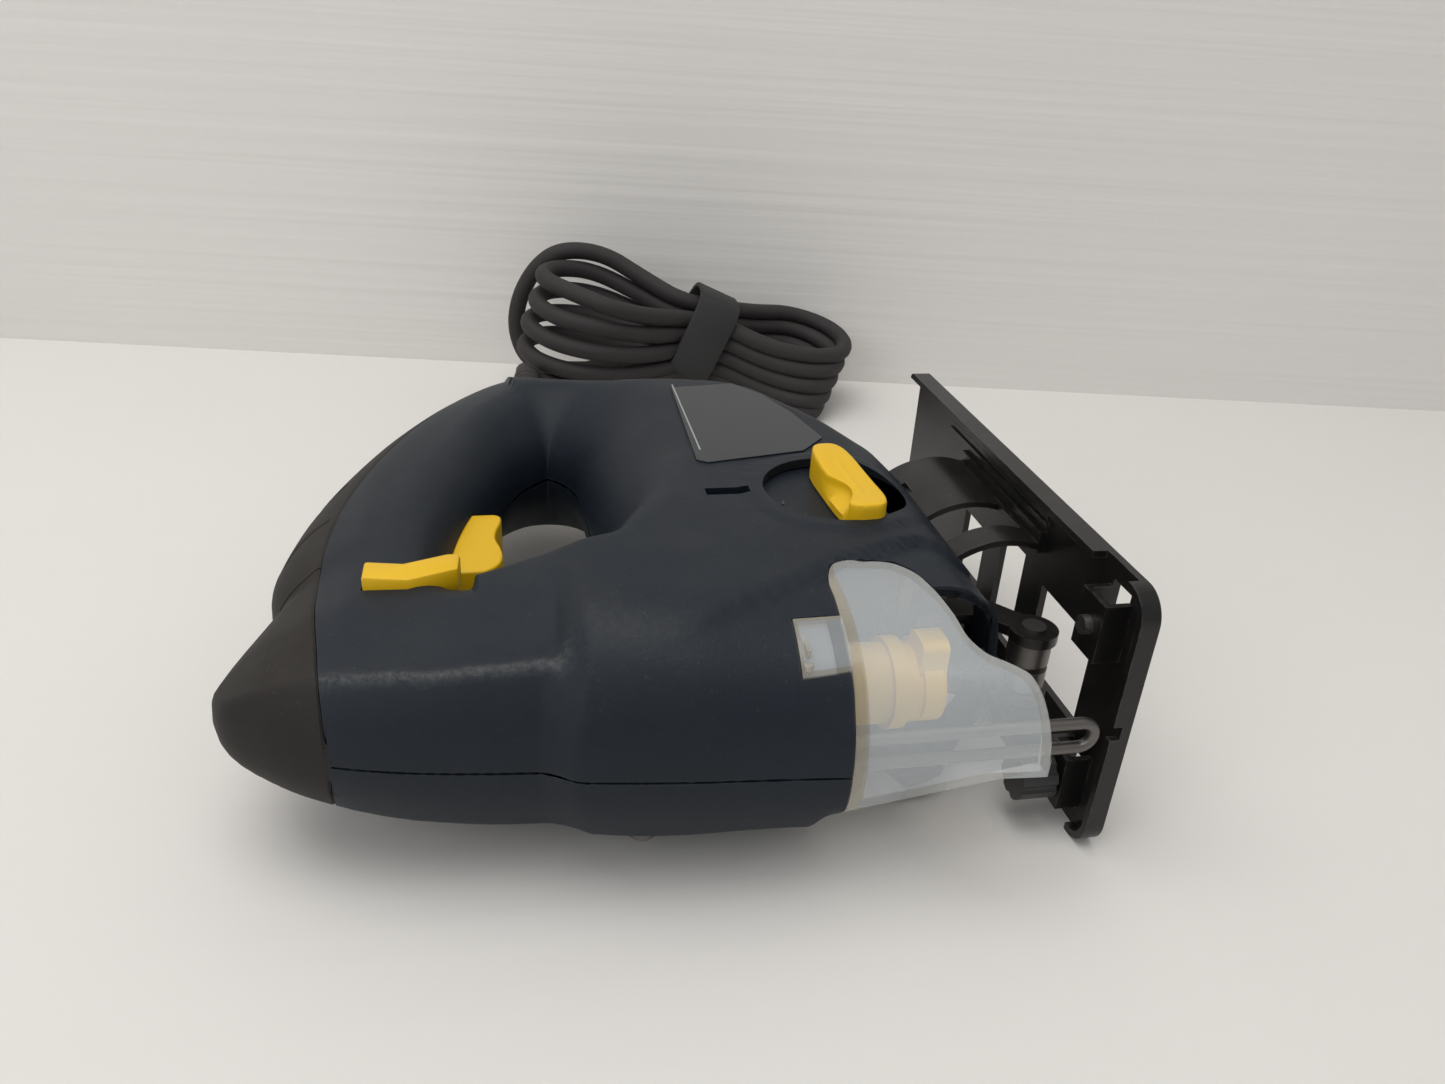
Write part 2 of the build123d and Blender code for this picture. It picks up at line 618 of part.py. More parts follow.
def make_field_core():
    """The stator stack with its bore and the slots for two coils."""
    stack = block(MOTOR_H - FIELD_H, MOTOR_H + FIELD_H, CORE_D, CORE_D + CORE_LENGTH, -FIELD_W, FIELD_W)
    stack = fillet(stack.edges().filter_by(Axis.Y), 8)
    stack = stack - rod_y(MOTOR_H, 0, CORE_R + AIR_GAP, CORE_D - 1, CORE_D + CORE_LENGTH + 1)
    for low, high in ((COIL_H[0], COIL_H[1]), (-COIL_H[1], -COIL_H[0])):
        slot = block(MOTOR_H + low, MOTOR_H + high, CORE_D - 1, CORE_D + CORE_LENGTH + 1, *COIL_W)
        stack = stack - slot - mirrored(slot)
    return stack


def make_field_coils():
    """Two closed coils, one above and one below the armature."""
    coils = []
    for low, high in ((COIL_H[0], COIL_H[1]), (-COIL_H[1], -COIL_H[0])):
        outer = block(MOTOR_H + low, MOTOR_H + high, CORE_D - COIL_END, CORE_D + CORE_LENGTH + COIL_END,
                      -COIL_W[1], COIL_W[1])
        inner = block(MOTOR_H + low - 1, MOTOR_H + high + 1, CORE_D, CORE_D + CORE_LENGTH, -COIL_W[0], COIL_W[0])
        coils.append((outer - inner).solid())
    return Compound(coils)


def make_brush_holders():
    low, high = HOLDER_W
    h, d = HOLDER
    box = block(MOTOR_H - h, MOTOR_H + h, COMMUTATOR_MID - d, COMMUTATOR_MID + d, low, high)
    room = BRUSH + SEAT
    box = box - block(MOTOR_H - room, MOTOR_H + room, COMMUTATOR_MID - room, COMMUTATOR_MID + room, low - 1, high - 2)
    return Compound([box.solid(), mirrored(box).solid()])


def make_brushes():
    brush = block(MOTOR_H - BRUSH, MOTOR_H + BRUSH, COMMUTATOR_MID - BRUSH, COMMUTATOR_MID + BRUSH,
                  COMMUTATOR_R + SEAT, HOLDER_W[1] - 2 - SEAT)
    return Compound([brush.solid(), mirrored(brush).solid()])


# ---------------------------------------------------------------- gear case and plunger

BLOCK_FRONT_D = PLUNGER_D - BUSH_R - 2
LOWER_BLOCK_W = 16.0
UPPER_BLOCK_W = 10.0
ARM_INNER_W = 8.5            # clear of the pinion


def make_gear_case():
    """A die-cast plate with the front bearing's seat and two arms that hold the plunger's bushes."""
    rear = CASE_D + CASE_THICK
    case = depth_prism(CASE_OUTLINE, CASE_D, rear)
    case += rod_y(MOTOR_H, 0, BEARING_R + 3, CASE_D, CASE_D + 1 + BEARING_WIDTH)
    case += block(*UPPER_BLOCK, BLOCK_FRONT_D, CASE_D + 1, -UPPER_BLOCK_W, UPPER_BLOCK_W)
    arm = block(*LOWER_BLOCK, GEAR_D - 2, CASE_D + 1, ARM_INNER_W, LOWER_BLOCK_W)
    case += block(*LOWER_BLOCK, BLOCK_FRONT_D, GEAR_D - 1, -LOWER_BLOCK_W, LOWER_BLOCK_W) + arm + mirrored(arm)
    case = case - rod_y(MOTOR_H, 0, BEARING_R, CASE_D + 1, CASE_D + 10)
    case = case - rod_y(MOTOR_H, 0, PINION_TIP + 0.6, CASE_D - 2, CASE_D + 2)
    for low, high in (LOWER_BLOCK, UPPER_BLOCK):
        case = case - rod_x(PLUNGER_D, 0, BUSH_R, low - 1, high + 1)
    return case - rod_y(GEAR_H, 0, SPINDLE_R, CASE_D - 1, rear + 1)


def make_bushes():
    """The two sintered bushes that the plunger slides in."""
    rings = []
    for low, high in (LOWER_BLOCK, UPPER_BLOCK):
        ring = rod_x(PLUNGER_D, 0, BUSH_R, low, high) - rod_x(PLUNGER_D, 0, PLUNGER_R + FIT, low - 1, high + 1)
        rings.append(ring.solid())
    return Compound(rings)


YOKE_THICK = 2.8
YOKE_W = 16.0
YOKE_H = 6.0                 # half height of the yoke
YOKE_FRONT_D = PLUNGER_D + PLUNGER_R + 0.2
CLIP_THICK = 1.0


def make_spindle():
    return rod_y(GEAR_H, 0, SPINDLE_R, GEAR_D - GAP - CLIP_THICK, CASE_D + CASE_THICK)


def make_spindle_clip():
    """The ring that keeps the gear on its spindle."""
    front, rear = GEAR_D - GAP - CLIP_THICK, GEAR_D - GAP
    return rod_y(GEAR_H, 0, SPINDLE_R + 1.6, front, rear) - rod_y(GEAR_H, 0, SPINDLE_R, front - 1, rear + 1)


def make_drive_gear():
    """The big gear, turned so that one of its gaps faces the pinion."""
    half_pitch = pi / GEAR_TEETH
    gear = gear_solid(GEAR_TEETH, GEAR_TIP, GEAR_ROOT, pi + half_pitch, GEAR_H, GEAR_D, GEAR_D + GEAR_FACE)
    gear = gear - rod_y(GEAR_H, 0, SPINDLE_R + FIT, GEAR_D - 1, GEAR_D + GEAR_FACE + 1)
    gear = gear - rod_y(GEAR_H + CRANK_R, 0, CRANK_PIN_R, GEAR_D - 1, GEAR_D + GEAR_FACE - 2)
    relief = rod_y(GEAR_H, 0, GEAR_ROOT - 3, GEAR_D + GEAR_FACE - 1.5, GEAR_D + GEAR_FACE + 1)
    return gear - (relief - rod_y(GEAR_H, 0, SPINDLE_R + 4, GEAR_D, GEAR_D + GEAR_FACE + 2))


def make_crank_pin():
    """The pin that drives the yoke, held short of it so that the linkage stays open."""
    return rod_y(GEAR_H + CRANK_R, 0, CRANK_PIN_R, YOKE_FRONT_D + YOKE_THICK + GAP, GEAR_D + GEAR_FACE - 2)


CLAMP_BODY_TOP = 73.0


def make_plunger():
    """The ground rod that carries the blade clamp."""
    return rod_x(PLUNGER_D, 0, PLUNGER_R, CLAMP_TOP - 4, ROD_TOP)


def make_yoke():
    """The slotted plate on the rod, with the crank pin's track across it."""
    middle = GEAR_H + CRANK_R
    plate = block(middle - YOKE_H, middle + YOKE_H, YOKE_FRONT_D, YOKE_FRONT_D + YOKE_THICK, -YOKE_W, YOKE_W)
    hub = block(middle - YOKE_H, middle + YOKE_H, PLUNGER_D - PLUNGER_R - 2, YOKE_FRONT_D + 0.5, -7, 7)
    track_w = CRANK_R + CRANK_PIN_R + 0.5
    track = block(middle - CRANK_PIN_R - FIT, middle + CRANK_PIN_R + FIT, YOKE_FRONT_D + 0.8,
                  YOKE_FRONT_D + YOKE_THICK + 1, -track_w, track_w)
    return plate + hub - track - rod_x(PLUNGER_D, 0, PLUNGER_R, middle - 10, middle + 10)


BLADE_SLOT = (1.6, 8.0)      # thickness and width of the blade's tang slot


def make_clamp_body():
    """The steel body of the blade clamp, slotted for a blade's tang."""
    low = CLAMP_TOP - CLAMP_LENGTH - 1
    body = rod_x(PLUNGER_D, 0, COLLAR_BORE_R - FIT, low, CLAMP_TOP)
    body += rod_x(PLUNGER_D, 0, 9.0, CLAMP_TOP + GAP, CLAMP_BODY_TOP - 0.5)
    body += rod_x(PLUNGER_D, 0, COLLAR_BORE_R - FIT, CLAMP_TOP - 1, CLAMP_TOP + 1)
    thick, wide = BLADE_SLOT
    slot = block(low - 1, CLAMP_TOP - 5, PLUNGER_D - wide / 2, PLUNGER_D + wide / 2, -thick / 2, thick / 2)
    return body - slot - rod_x(PLUNGER_D, 0, PLUNGER_R, CLAMP_TOP - 4, CLAMP_BODY_TOP + 1)


def make_clamp_collar():
    """The quick-release collar: a barrel, a round flange and a thumb lever at its foot."""
    low = CLAMP_TOP - CLAMP_LENGTH
    collar = rod_x(PLUNGER_D, 0, COLLAR_R, low, CLAMP_TOP)
    collar += rod_x(PLUNGER_D, 0, COLLAR_FLANGE_R, low + 10, low + 14)
    lever = block(low, low + 7, PLUNGER_D - 8, PLUNGER_D + 2, 4, 15.5)
    rim = rod_x(PLUNGER_D, 0, COLLAR_FLANGE_R - 0.5, low + 1, low + 6)
    rim = rim & block(low, low + 8, PLUNGER_D - 20, PLUNGER_D + 20, -4, 20)
    collar += rim + fillet(lever.edges().filter_by(Axis.X), 2.5)
    return collar - rod_x(PLUNGER_D, 0, COLLAR_BORE_R, low - 1, CLAMP_TOP + 1)


# ---------------------------------------------------------------- pendulum arm and roller

def link(start, end, half, w0, w1):
    """A flat bar between two places on the side, as wide as twice half."""
    (h0, d0), (h1, d1) = start, end
    length = hypot(h1 - h0, d1 - d0)
    up, back = -(d1 - d0) / length * half, (h1 - h0) / length * half
    corners = [(h0 + up, d0 + back), (h1 + up, d1 + back), (h1 - up, d1 - back), (h0 - up, d0 - back)]
    return side_prism(corners, w0, w1)


def make_pendulum_arm():
    """A bent fork: a hub on the pivot pin, a knee behind the clamp, and an ear each side of the roller."""
    hub_r, knee_r, ear_r = 5.5, 4.2, 6.5
    low, high = ARM_W - EAR, ARM_W
    ear = rod_z(*ARM_PIVOT, hub_r, low, high) + rod_z(*ARM_KNEE, knee_r, low, high)
    ear += rod_z(*ROLLER_AT, ear_r, low, high)
    ear += link(ARM_PIVOT, ARM_KNEE, knee_r, low, high) + link(ARM_KNEE, ROLLER_AT, knee_r, low, high)
    arm = ear + mirrored(ear) + rod_z(*ARM_PIVOT, hub_r, -high, high)
    arm += rod_z(*ARM_KNEE, knee_r - 0.8, -high, high)
    return arm - rod_z(*ARM_PIVOT, ARM_PIN_R + FIT, -SPAN, SPAN) - rod_z(*ROLLER_AT, ROLLER_PIN_R, -SPAN, SPAN)


ROLLER_PIN_R = 2.0
PIN_HEAD = 0.8


def make_arm_pin():
    return rod_z(*ARM_PIVOT, ARM_PIN_R, -22, 22)


def make_roller_pin():
    pin = rod_z(*ROLLER_AT, ROLLER_PIN_R, -ARM_W - PIN_HEAD, ARM_W + PIN_HEAD)
    heads = rod_z(*ROLLER_AT, ROLLER_PIN_R + 1.2, ARM_W, ARM_W + PIN_HEAD)
    return pin + heads + mirrored(heads)


def make_roller():
    """The grooved roller that backs the blade."""
    half = ARM_W - EAR - GAP
    roller = rod_z(*ROLLER_AT, ROLLER_R, -half, half)
    groove = rod_z(*ROLLER_AT, ROLLER_R + 1, -0.9, 0.9) - rod_z(*ROLLER_AT, ROLLER_R - 1.5, -1, 1)
    return roller - groove - rod_z(*ROLLER_AT, ROLLER_PIN_R + FIT, -SPAN, SPAN)


# ---------------------------------------------------------------- shoe

CORNER_R = 8.0
LIP = 5.0
SHOE_W = SHOE_WIDTH / 2
FLANGE_FRONT_D = 24.0
BLADE_WINDOW = (21.0, 50.0, 13.0)      # d low, d high, half width
CROSS_WINDOWS = [(62.0, 77.0, 16.0), (88.0, 104.0, 10.0)]
BRIDGE = (9.0, 20.0, 15.0, 31.0)       # d low, d high, w low, w high of a guide bridge
BRIDGE_TOP = 9.0
THUMB_SCREW = (14.5, -23.0)            # d, w
SET_SCREW_R = 2.5
KNOB_H = (10.3, 20.0)
KNOB_R = 6.5


def make_shoe_plate():
    """A pressed steel plate: side flanges, a front lip, windows and two guide bridges."""
    tray = block(0, FLANGE_HEIGHT, 0, SHOE_LENGTH, -SHOE_W, SHOE_W)
    corners = tray.edges().filter_by(Axis.X)
    tray = fillet(corners.group_by(Axis.Y)[0], CORNER_R)
    tray = fillet(tray.edges().filter_by(Axis.X).group_by(Axis.Y)[-1], 2.0)
    room = block(SHEET, FLANGE_HEIGHT + 1, SHEET, SHOE_LENGTH + 5, -SHOE_W + SHEET, SHOE_W - SHEET)
    room = fillet(room.edges().filter_by(Axis.X).group_by(Axis.Y)[0], CORNER_R - SHEET)
    plate = tray - room
    plate = plate - block(LIP, FLANGE_HEIGHT + 1, -1, FLANGE_FRONT_D, -SPAN, SPAN)
    side_gap = block(SHEET, FLANGE_HEIGHT + 1, BRIDGE[0], FLANGE_FRONT_D, SHOE_W - SHEET - 0.5, SPAN)
    plate = plate - side_gap - mirrored(side_gap)
    notch_w = 2.0
    plate = plate - block(SHEET + 0.5, LIP + 1, -1, SHEET + 0.5, -notch_w, notch_w)
    front, rear, half = BLADE_WINDOW
    plate = plate - block(-1, SHEET + 1, front, rear, -half, half)
    for front, rear, half in CROSS_WINDOWS:
        plate = plate - block(-1, SHEET + 1, front, rear, -half, half)
    d0, d1, w0, w1 = BRIDGE
    bridge = block(SHEET, BRIDGE_TOP, d0, d1, w0, w1) - block(SHEET - 1, BRIDGE_TOP - SHEET, d0 + SHEET - 0.5,
                                                             d1 - SHEET + 0.5, w0 - 1, w1 + 1)
    screw_hole = rod_x((d0 + d1) / 2, (w0 + w1) / 2, SET_SCREW_R, BRIDGE_TOP - 3, BRIDGE_TOP + 1)
    bridge = bridge - screw_hole
    window = block(-1, SHEET + 1, d0 + SHEET - 0.5, d1 - SHEET + 0.5, w0 + 3, w1 + 2)
    plate = plate + bridge + mirrored(bridge) - window - mirrored(window)
    for w in (VAULT_FLANGE_W + 1.5, VAULT_FLANGE_W + 4.0):
        rib = block(SHEET, SHEET + 1, VAULT_FRONT, VAULT_REAR + 14, w, w + 1.2)
        plate = plate + rib + mirrored(rib)
    return plate


VAULT_SHEET = 1.8
VAULT_FOOT_H = 4.0
VAULT_FLANGE_W = 28.0
VAULT_WINDOW = (62.0, 77.0)
SCREW_SLOT = 3.4             # half width of the slot for the clamp screw


def make_bevel_vault():
    """The half-round saddle bracket on the plate, with side windows and the clamp screw's slot."""
    vault = rod_y(BEVEL_H, 0, VAULT_R, VAULT_FRONT, VAULT_REAR)
    inner = VAULT_R - VAULT_SHEET
    vault = vault - rod_y(BEVEL_H, 0, inner, VAULT_FRONT - 1, VAULT_REAR + 1)
    vault = vault - block(-30, SHEET, VAULT_FRONT - 1, VAULT_REAR + 1, -SPAN, SPAN)
    foot_w = sqrt(inner ** 2 - (BEVEL_H - SHEET) ** 2)
    foot = block(SHEET, VAULT_FOOT_H, VAULT_FRONT, VAULT_REAR, foot_w, VAULT_FLANGE_W)
    vault = vault + foot + mirrored(foot)
    window = block(VAULT_FOOT_H + 1.5, BEVEL_H + 18, *VAULT_WINDOW, 10, SPAN)
    vault = vault - window - mirrored(window)
    slot_low = BEVEL_H + inner * cos(radians(BEVEL_RANGE + 12))
    return vault - block(slot_low, BEVEL_H + VAULT_R + 1, CLAMP_SCREW_D - SCREW_SLOT, CLAMP_SCREW_D + SCREW_SLOT,
                         -VAULT_R, VAULT_R)


def make_clamp_shoe():
    """The curved washer that the clamp screw pulls against the inside of the vault."""
    outer = VAULT_R - VAULT_SHEET - GAP
    washer = rod_y(BEVEL_H, 0, outer, CLAMP_SCREW_D - 7, CLAMP_SCREW_D + 7)
    washer = washer - rod_y(BEVEL_H, 0, outer - 2.6, CLAMP_SCREW_D - 8, CLAMP_SCREW_D + 8)
    washer = washer & block(BEVEL_H + 15, BEVEL_H + 30, CLAMP_SCREW_D - 8, CLAMP_SCREW_D + 8, -9, 9)
    return washer - rod_x(CLAMP_SCREW_D, 0, 3 + FIT, BEVEL_H, BEVEL_H + 40)


def make_clamp_screw():
    """The socket screw that locks the bevel, reached through the plate."""
    seat = BEVEL_H + VAULT_R - VAULT_SHEET - GAP - 2.6 - 0.8
    screw = rod_x(CLAMP_SCREW_D, 0, 3, seat - 1, 54) + rod_x(CLAMP_SCREW_D, 0, 5, seat - 5, seat)
    socket = RegularPolygon(2.5, 6)
    key = Pos(*at(seat - 5.5, CLAMP_SCREW_D)) * Rot(0, -90, 0) * extrude(socket, amount=3.5)
    return screw - key


def make_set_screw():
    """The set screw in the left guide bridge."""
    d0, d1, w0, w1 = BRIDGE
    screw = rod_x((d0 + d1) / 2, (w0 + w1) / 2, SET_SCREW_R - FIT, BRIDGE_TOP - SHEET, BRIDGE_TOP + 2)
    slot = block(BRIDGE_TOP + 1, BRIDGE_TOP + 3, 0, 40, (w0 + w1) / 2 - 0.5, (w0 + w1) / 2 + 0.5)
    return screw - slot


def make_guide_knob():
    """The thumb screw in the right guide bridge."""
    d, w = THUMB_SCREW
    knob = rod_x(d, w, KNOB_R, *KNOB_H)
    flutes = 8
    flute = rod_x(d + KNOB_R + 0.6, w, 1.4, KNOB_H[0] - 1, KNOB_H[1] + 1)
    axis = Axis(at(0, d, w), (1, 0, 0))
    for i in range(flutes):
        knob = knob - flute.rotate(axis, 360 * i / flutes)
    return knob + rod_x(d, w, SET_SCREW_R - FIT, BRIDGE_TOP - SHEET, KNOB_H[0] + 2)


# ---------------------------------------------------------------- controls

KNOB_LENGTH = 42.0
KNOB_WIDTH = 17.0
KNOB_TOP_W = 43.0
KNOB_BAR_W = 35.0


def make_orbital_knob():
    """A bar handle on a round foot, high and square at the rear and round at the front."""
    h, d = DIAL
    half = KNOB_WIDTH / 2
    floor = half_width(h, d) - DIAL_DEPTH
    foot = rod_z(h, d, DIAL_R - 5, floor + GAP, KNOB_BAR_W + 0.5)
    bar = block(h - half, h + half, d - KNOB_LENGTH / 2 + half, d + KNOB_LENGTH / 2, KNOB_BAR_W, KNOB_TOP_W)
    nose = rod_z(h, d - KNOB_LENGTH / 2 + half, half, KNOB_BAR_W, KNOB_TOP_W)
    bar = bar + nose
    bar = fillet(bar.edges().filter_by(Axis.Z).group_by(Axis.Y)[-1], 3.5)
    bar = chamfer(bar.faces().sort_by(Axis.Z)[-1].edges(), 1.2)
    scoop = rod_z(h + KNOB_WIDTH * 0.95, d - 3, 11, KNOB_BAR_W + 2, KNOB_TOP_W + 1)
    return foot + (bar - scoop) + rod_z(h, d, DIAL_SHAFT_R, CAM_W[1] - 0.5, floor + 1)


CAM_W = (21.0, 28.3)


def make_orbital_cam():
    """The retaining disc and eccentric on the knob's shaft, inside the left shell."""
    h, d = DIAL
    cam = rod_z(h, d, 7, 26, CAM_W[1]) + rod_z(h + 1.5, d, 4, CAM_W[0], 26)
    return cam - rod_z(h, d, DIAL_SHAFT_R, CAM_W[1] - 0.5, CAM_W[1] + 1)


def make_trigger():
    """The finger trigger with the flange that keeps it in the handle."""
    low, high = TRIGGER_SLOT
    front, rear = low + GAP, high - GAP
    shape = [(166, front), (166, rear), (157.5, rear), (151, rear - 3), (147.5, rear - 11), (149.5, front + 11),
             (156.5, front)]
    finger = side_prism(shape, -TRIGGER_W, TRIGGER_W)
    flange = block(165.4, 167.2, low - 1.5, high + 1.5, -8.4, 8.4)
    return finger + flange


def make_switch():
    low, high, front, rear = SWITCH
    body = block(low, high, front, rear, -SWITCH_W, SWITCH_W)
    return body + block(low + 4, low + 10, rear, rear + 4, -5, 5)


def make_lock_button():
    """The bent side button beside the trigger, with its inner flange."""
    low, high = LOCK_W
    button = side_prism(LOCK_OUTLINE, low, high)
    button = chamfer(button.faces().sort_by(Axis.Z)[-1].edges(), 0.6)
    return button + lock_flange(0)


def make_label():
    """The bare plate in the left shell's shallow recess."""
    w = half_width(80, 120)
    return side_prism(LABEL, w - LABEL_THICK, w)


def make_housing_screws():
    screws = []
    for h, d in SCREWS:
        seat = screw_seat(h, d)
        screw = rod_z(h, d, SCREW_HEAD_R, seat - SCREW_HEAD, seat) + rod_z(h, d, SCREW_R, seat - 1, SCREW_REACH - 0.5)
        cross = block(h - 2.2, h + 2.2, d - 0.4, d + 0.4, seat - 3, seat - 1)
        cross += block(h - 0.4, h + 0.4, d - 2.2, d + 2.2, seat - 3, seat - 1)
        screws.append((screw - cross).solid())
    return Compound(screws)


# ---------------------------------------------------------------- cord

RELIEF_TIP_R = 5.0
# Points of the free cord from the strain relief to the coil: height, depth, side distance.
CORD_ROUTE = [(137, 262, 0), (137.5, 277, -2), (136.5, 292, -8), (131, 305, -17)]
# Side view of the coil, as height and height above the bench, and the depths between which it lies.
COIL_SHAPE = [
    (-27, 10), (-24, 27), (0, 38), (30, 52), (58, 66), (84, 80), (104, 84), (122, 77), (134, 60), (139, 38),
    (137, 14), (122, 2), (-14, 2),
]
COIL_D = (286.0, 340.0)
STRAP_H = 52.0
STRAP_WIDTH = 20.0
STRAP_THICK = 1.5
PLUG_AT = (72.0, 350.5, 11.0)          # height, depth, height above the bench


def make_strain_relief():
    """The rubber sleeve on the cord, with the collar that the shells clamp."""
    front = RELIEF_D - 20
    body = rod_y(CORD_H, 0, RELIEF_R - FIT, front, RELIEF_D + 6)
    body += rod_y(CORD_H, 0, RELIEF_R + 2 - FIT, RELIEF_D - 22 + FIT, RELIEF_D - 10 - FIT)
    cone = Pos(*at(CORD_H, (RELIEF_D + 6 + RELIEF_END_D) / 2)) * Rot(-90, 0, 0) * Cone(
        RELIEF_R - FIT, RELIEF_TIP_R, RELIEF_END_D - RELIEF_D - 6)
    return body + cone


def route_radii(points):
    """The largest arc at each corner of a route: 0.45 of the shorter run over tan(half the turn)."""
    radii = []
    for a, b, c in zip(points, points[1:], points[2:]):
        first, second = Vector(*b) - Vector(*a), Vector(*c) - Vector(*b)
        turn = radians(first.get_angle(second))
        radii.append(0.45 * min(first.length, second.length) / tan(turn / 2))
    return radii


def make_cord():
    """The free stretch of the cord, straight runs joined by tangent arcs."""
    points = [at(h, d, w) for h, d, w in CORD_ROUTE]
    radii = route_radii(points)
    path = FilletPolyline(*points, radius=radii)
    tube = sweep(Plane(origin=path @ 0, z_dir=path % 0) * Circle(CORD_R), path=path)
    print("cord: radii", [round(r) for r in radii], "length", round(path.length, 1),
          "volume over section times length", round(tube.volume / (pi * CORD_R ** 2 * path.length), 4))
    return tube


def coil_prism(distance):
    low, high = COIL_D
    shape = grown(COIL_SHAPE, distance)
    corners = [(SOLE_X - h, y_of(low - distance), z) for h, z in shape]
    return extrude(make_face(Polyline(*corners, close=True)), amount=high - low + 2 * distance, dir=(0, 1, 0))


def make_coil():
    """The outer shape of the folded cord, fanned out at its left end."""
    coil = coil_prism(0)
    return chamfer(coil.edges().filter_by(Axis.Y, reverse=True), 6.0)


def make_strap():
    """The hook-and-loop strap round the coil."""
    slab = Pos(SOLE_X - STRAP_H, y_of((COIL_D[0] + COIL_D[1]) / 2), 45) * Rot(0, -12, 0) * Box(STRAP_WIDTH, 90, 140)
    return largest((coil_prism(STRAP_THICK) - coil_prism(0)) & slab)


def make_plug():
    """A moulded two-pin plug lying behind the coil."""
    h, d, z = PLUG_AT
    x, y = SOLE_X - h, y_of(d)
    body = Pos(x, y, z) * Box(30, 20, 18)
    body = fillet(body.edges().filter_by(Axis.X), 5)
    grip = Pos(x - 24, y, z) * Rot(0, 90, 0) * Cone(3.9, 7.5, 18)
    return body + grip


def make_plug_pins():
    h, d, z = PLUG_AT
    pins = [Pos(SOLE_X - h + 15 + 8, y_of(d), z + side * 6.35) * Box(16, 6.3, 1.5) for side in (-1, 1)]
    return Compound([pin.solid() for pin in pins])


# ---------------------------------------------------------------- all parts

def make_parts():
    left, right, grip, nose = make_housing()
    return {
        "housing_left": left,
        "housing_right": right,
        "handle_grip": grip,
        "nose_bumper": nose,
        "label_plate": make_label(),
        "housing_screws": make_housing_screws(),
        "gear_case": make_gear_case(),
        "plunger_bushes": make_bushes(),
        "gear_spindle": make_spindle(),
        "spindle_clip": make_spindle_clip(),
        "front_bearing": bearing(CASE_D + 1),
        "rear_bearing": bearing(REAR_BEARING_D),
        "field_core": make_field_core(),
        "field_coils": make_field_coils(),
        "brush_holders": make_brush_holders(),
        "carbon_brushes": make_brushes(),
        "switch_module": make_switch(),
        "shoe_clamp_screw": make_clamp_screw(),
        "shoe_clamp_washer": make_clamp_shoe(),
        "arm_pivot_pin": make_arm_pin(),
        "wire_guard": make_wire_guard(),
        "armature_shaft": make_armature_shaft(),
        "armature_core": make_armature_core(),
        "armature_windings": make_armature_windings(),
        "commutator": make_commutator(),
        "cooling_fan": make_fan(),
        "drive_gear": make_drive_gear(),
        "crank_pin": make_crank_pin(),
        "plunger_rod": make_plunger(),
        "scotch_yoke": make_yoke(),
        "blade_clamp_body": make_clamp_body(),
        "blade_clamp_collar": make_clamp_collar(),
        "pendulum_arm": make_pendulum_arm(),
        "roller_pin": make_roller_pin(),
        "guide_roller": make_roller(),
        "blade_guard": make_blade_guard(),
        "shoe_plate": make_shoe_plate(),
        "bevel_vault": make_bevel_vault(),
        "guide_set_screw": make_set_screw(),
        "guide_thumb_screw": make_guide_knob(),
        "orbital_knob": make_orbital_knob(),
        "orbital_cam": make_orbital_cam(),
        "trigger": make_trigger(),
        "lock_button": make_lock_button(),
        "cord_strain_relief": make_strain_relief(),
        "cord_tube": make_cord(),
        "cord_coil": make_coil(),
        "cord_strap": make_strap(),
        "plug_body": make_plug(),
        "plug_pins": make_plug_pins(),
    }


def main():
    os.makedirs("parts", exist_ok=True)
    for name, shape in make_parts().items():
        solids = shape.solids()
        export_step(solids[0] if len(solids) == 1 else Compound(solids), f"parts/{name}.step")


if __name__ == "__main__":
    main()
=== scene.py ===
"""The dressed model of a corded jigsaw that lies on its right side.

Shapes are worked out with numpy in the tool's own measures: h is the height above the sole, d the
distance behind the front edge of the shoe and w the distance to either side of the middle plane,
all in millimetres. place() turns them into the frame's metres.
"""

import json
from math import cos, pi, radians, sin

import bpy
import numpy as np
from bpy.props import FloatProperty, FloatVectorProperty, IntProperty, PointerProperty
from bpy.types import Operator, Panel, PropertyGroup
from mathutils import Matrix, Vector


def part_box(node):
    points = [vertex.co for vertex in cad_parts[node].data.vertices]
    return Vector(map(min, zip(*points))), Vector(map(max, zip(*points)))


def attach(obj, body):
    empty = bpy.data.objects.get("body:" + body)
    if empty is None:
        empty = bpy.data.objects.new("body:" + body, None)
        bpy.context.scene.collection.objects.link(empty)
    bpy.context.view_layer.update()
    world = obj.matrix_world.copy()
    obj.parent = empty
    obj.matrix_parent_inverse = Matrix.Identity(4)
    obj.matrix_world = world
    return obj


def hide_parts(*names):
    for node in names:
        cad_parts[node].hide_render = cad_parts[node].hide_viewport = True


bl_info = {
    "name": "Jigsaw dress",
    "version": (1, 0, 0),
    "blender": (4, 5, 0),
    "location": "3D View > Sidebar > Jigsaw",
    "description": "Shells, soft grip, clear guard, controls, cord and finishes of a corded jigsaw",
    "category": "Object",
}

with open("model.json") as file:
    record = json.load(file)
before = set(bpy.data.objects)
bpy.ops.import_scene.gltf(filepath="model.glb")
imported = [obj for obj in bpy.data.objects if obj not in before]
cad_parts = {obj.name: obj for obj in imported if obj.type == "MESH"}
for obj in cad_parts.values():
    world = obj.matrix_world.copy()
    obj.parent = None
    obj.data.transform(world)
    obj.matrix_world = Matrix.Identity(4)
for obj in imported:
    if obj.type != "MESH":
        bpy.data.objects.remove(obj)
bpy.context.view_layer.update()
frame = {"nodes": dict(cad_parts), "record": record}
SHOE_LOW, SHOE_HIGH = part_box("shoe_plate")
SOLE = SHOE_HIGH.x
FRONT = SHOE_LOW.y
MIDDLE = (SHOE_LOW.z + SHOE_HIGH.z) / 2

MM = 0.001

# ---------------------------------------------------------------- the tool's outlines

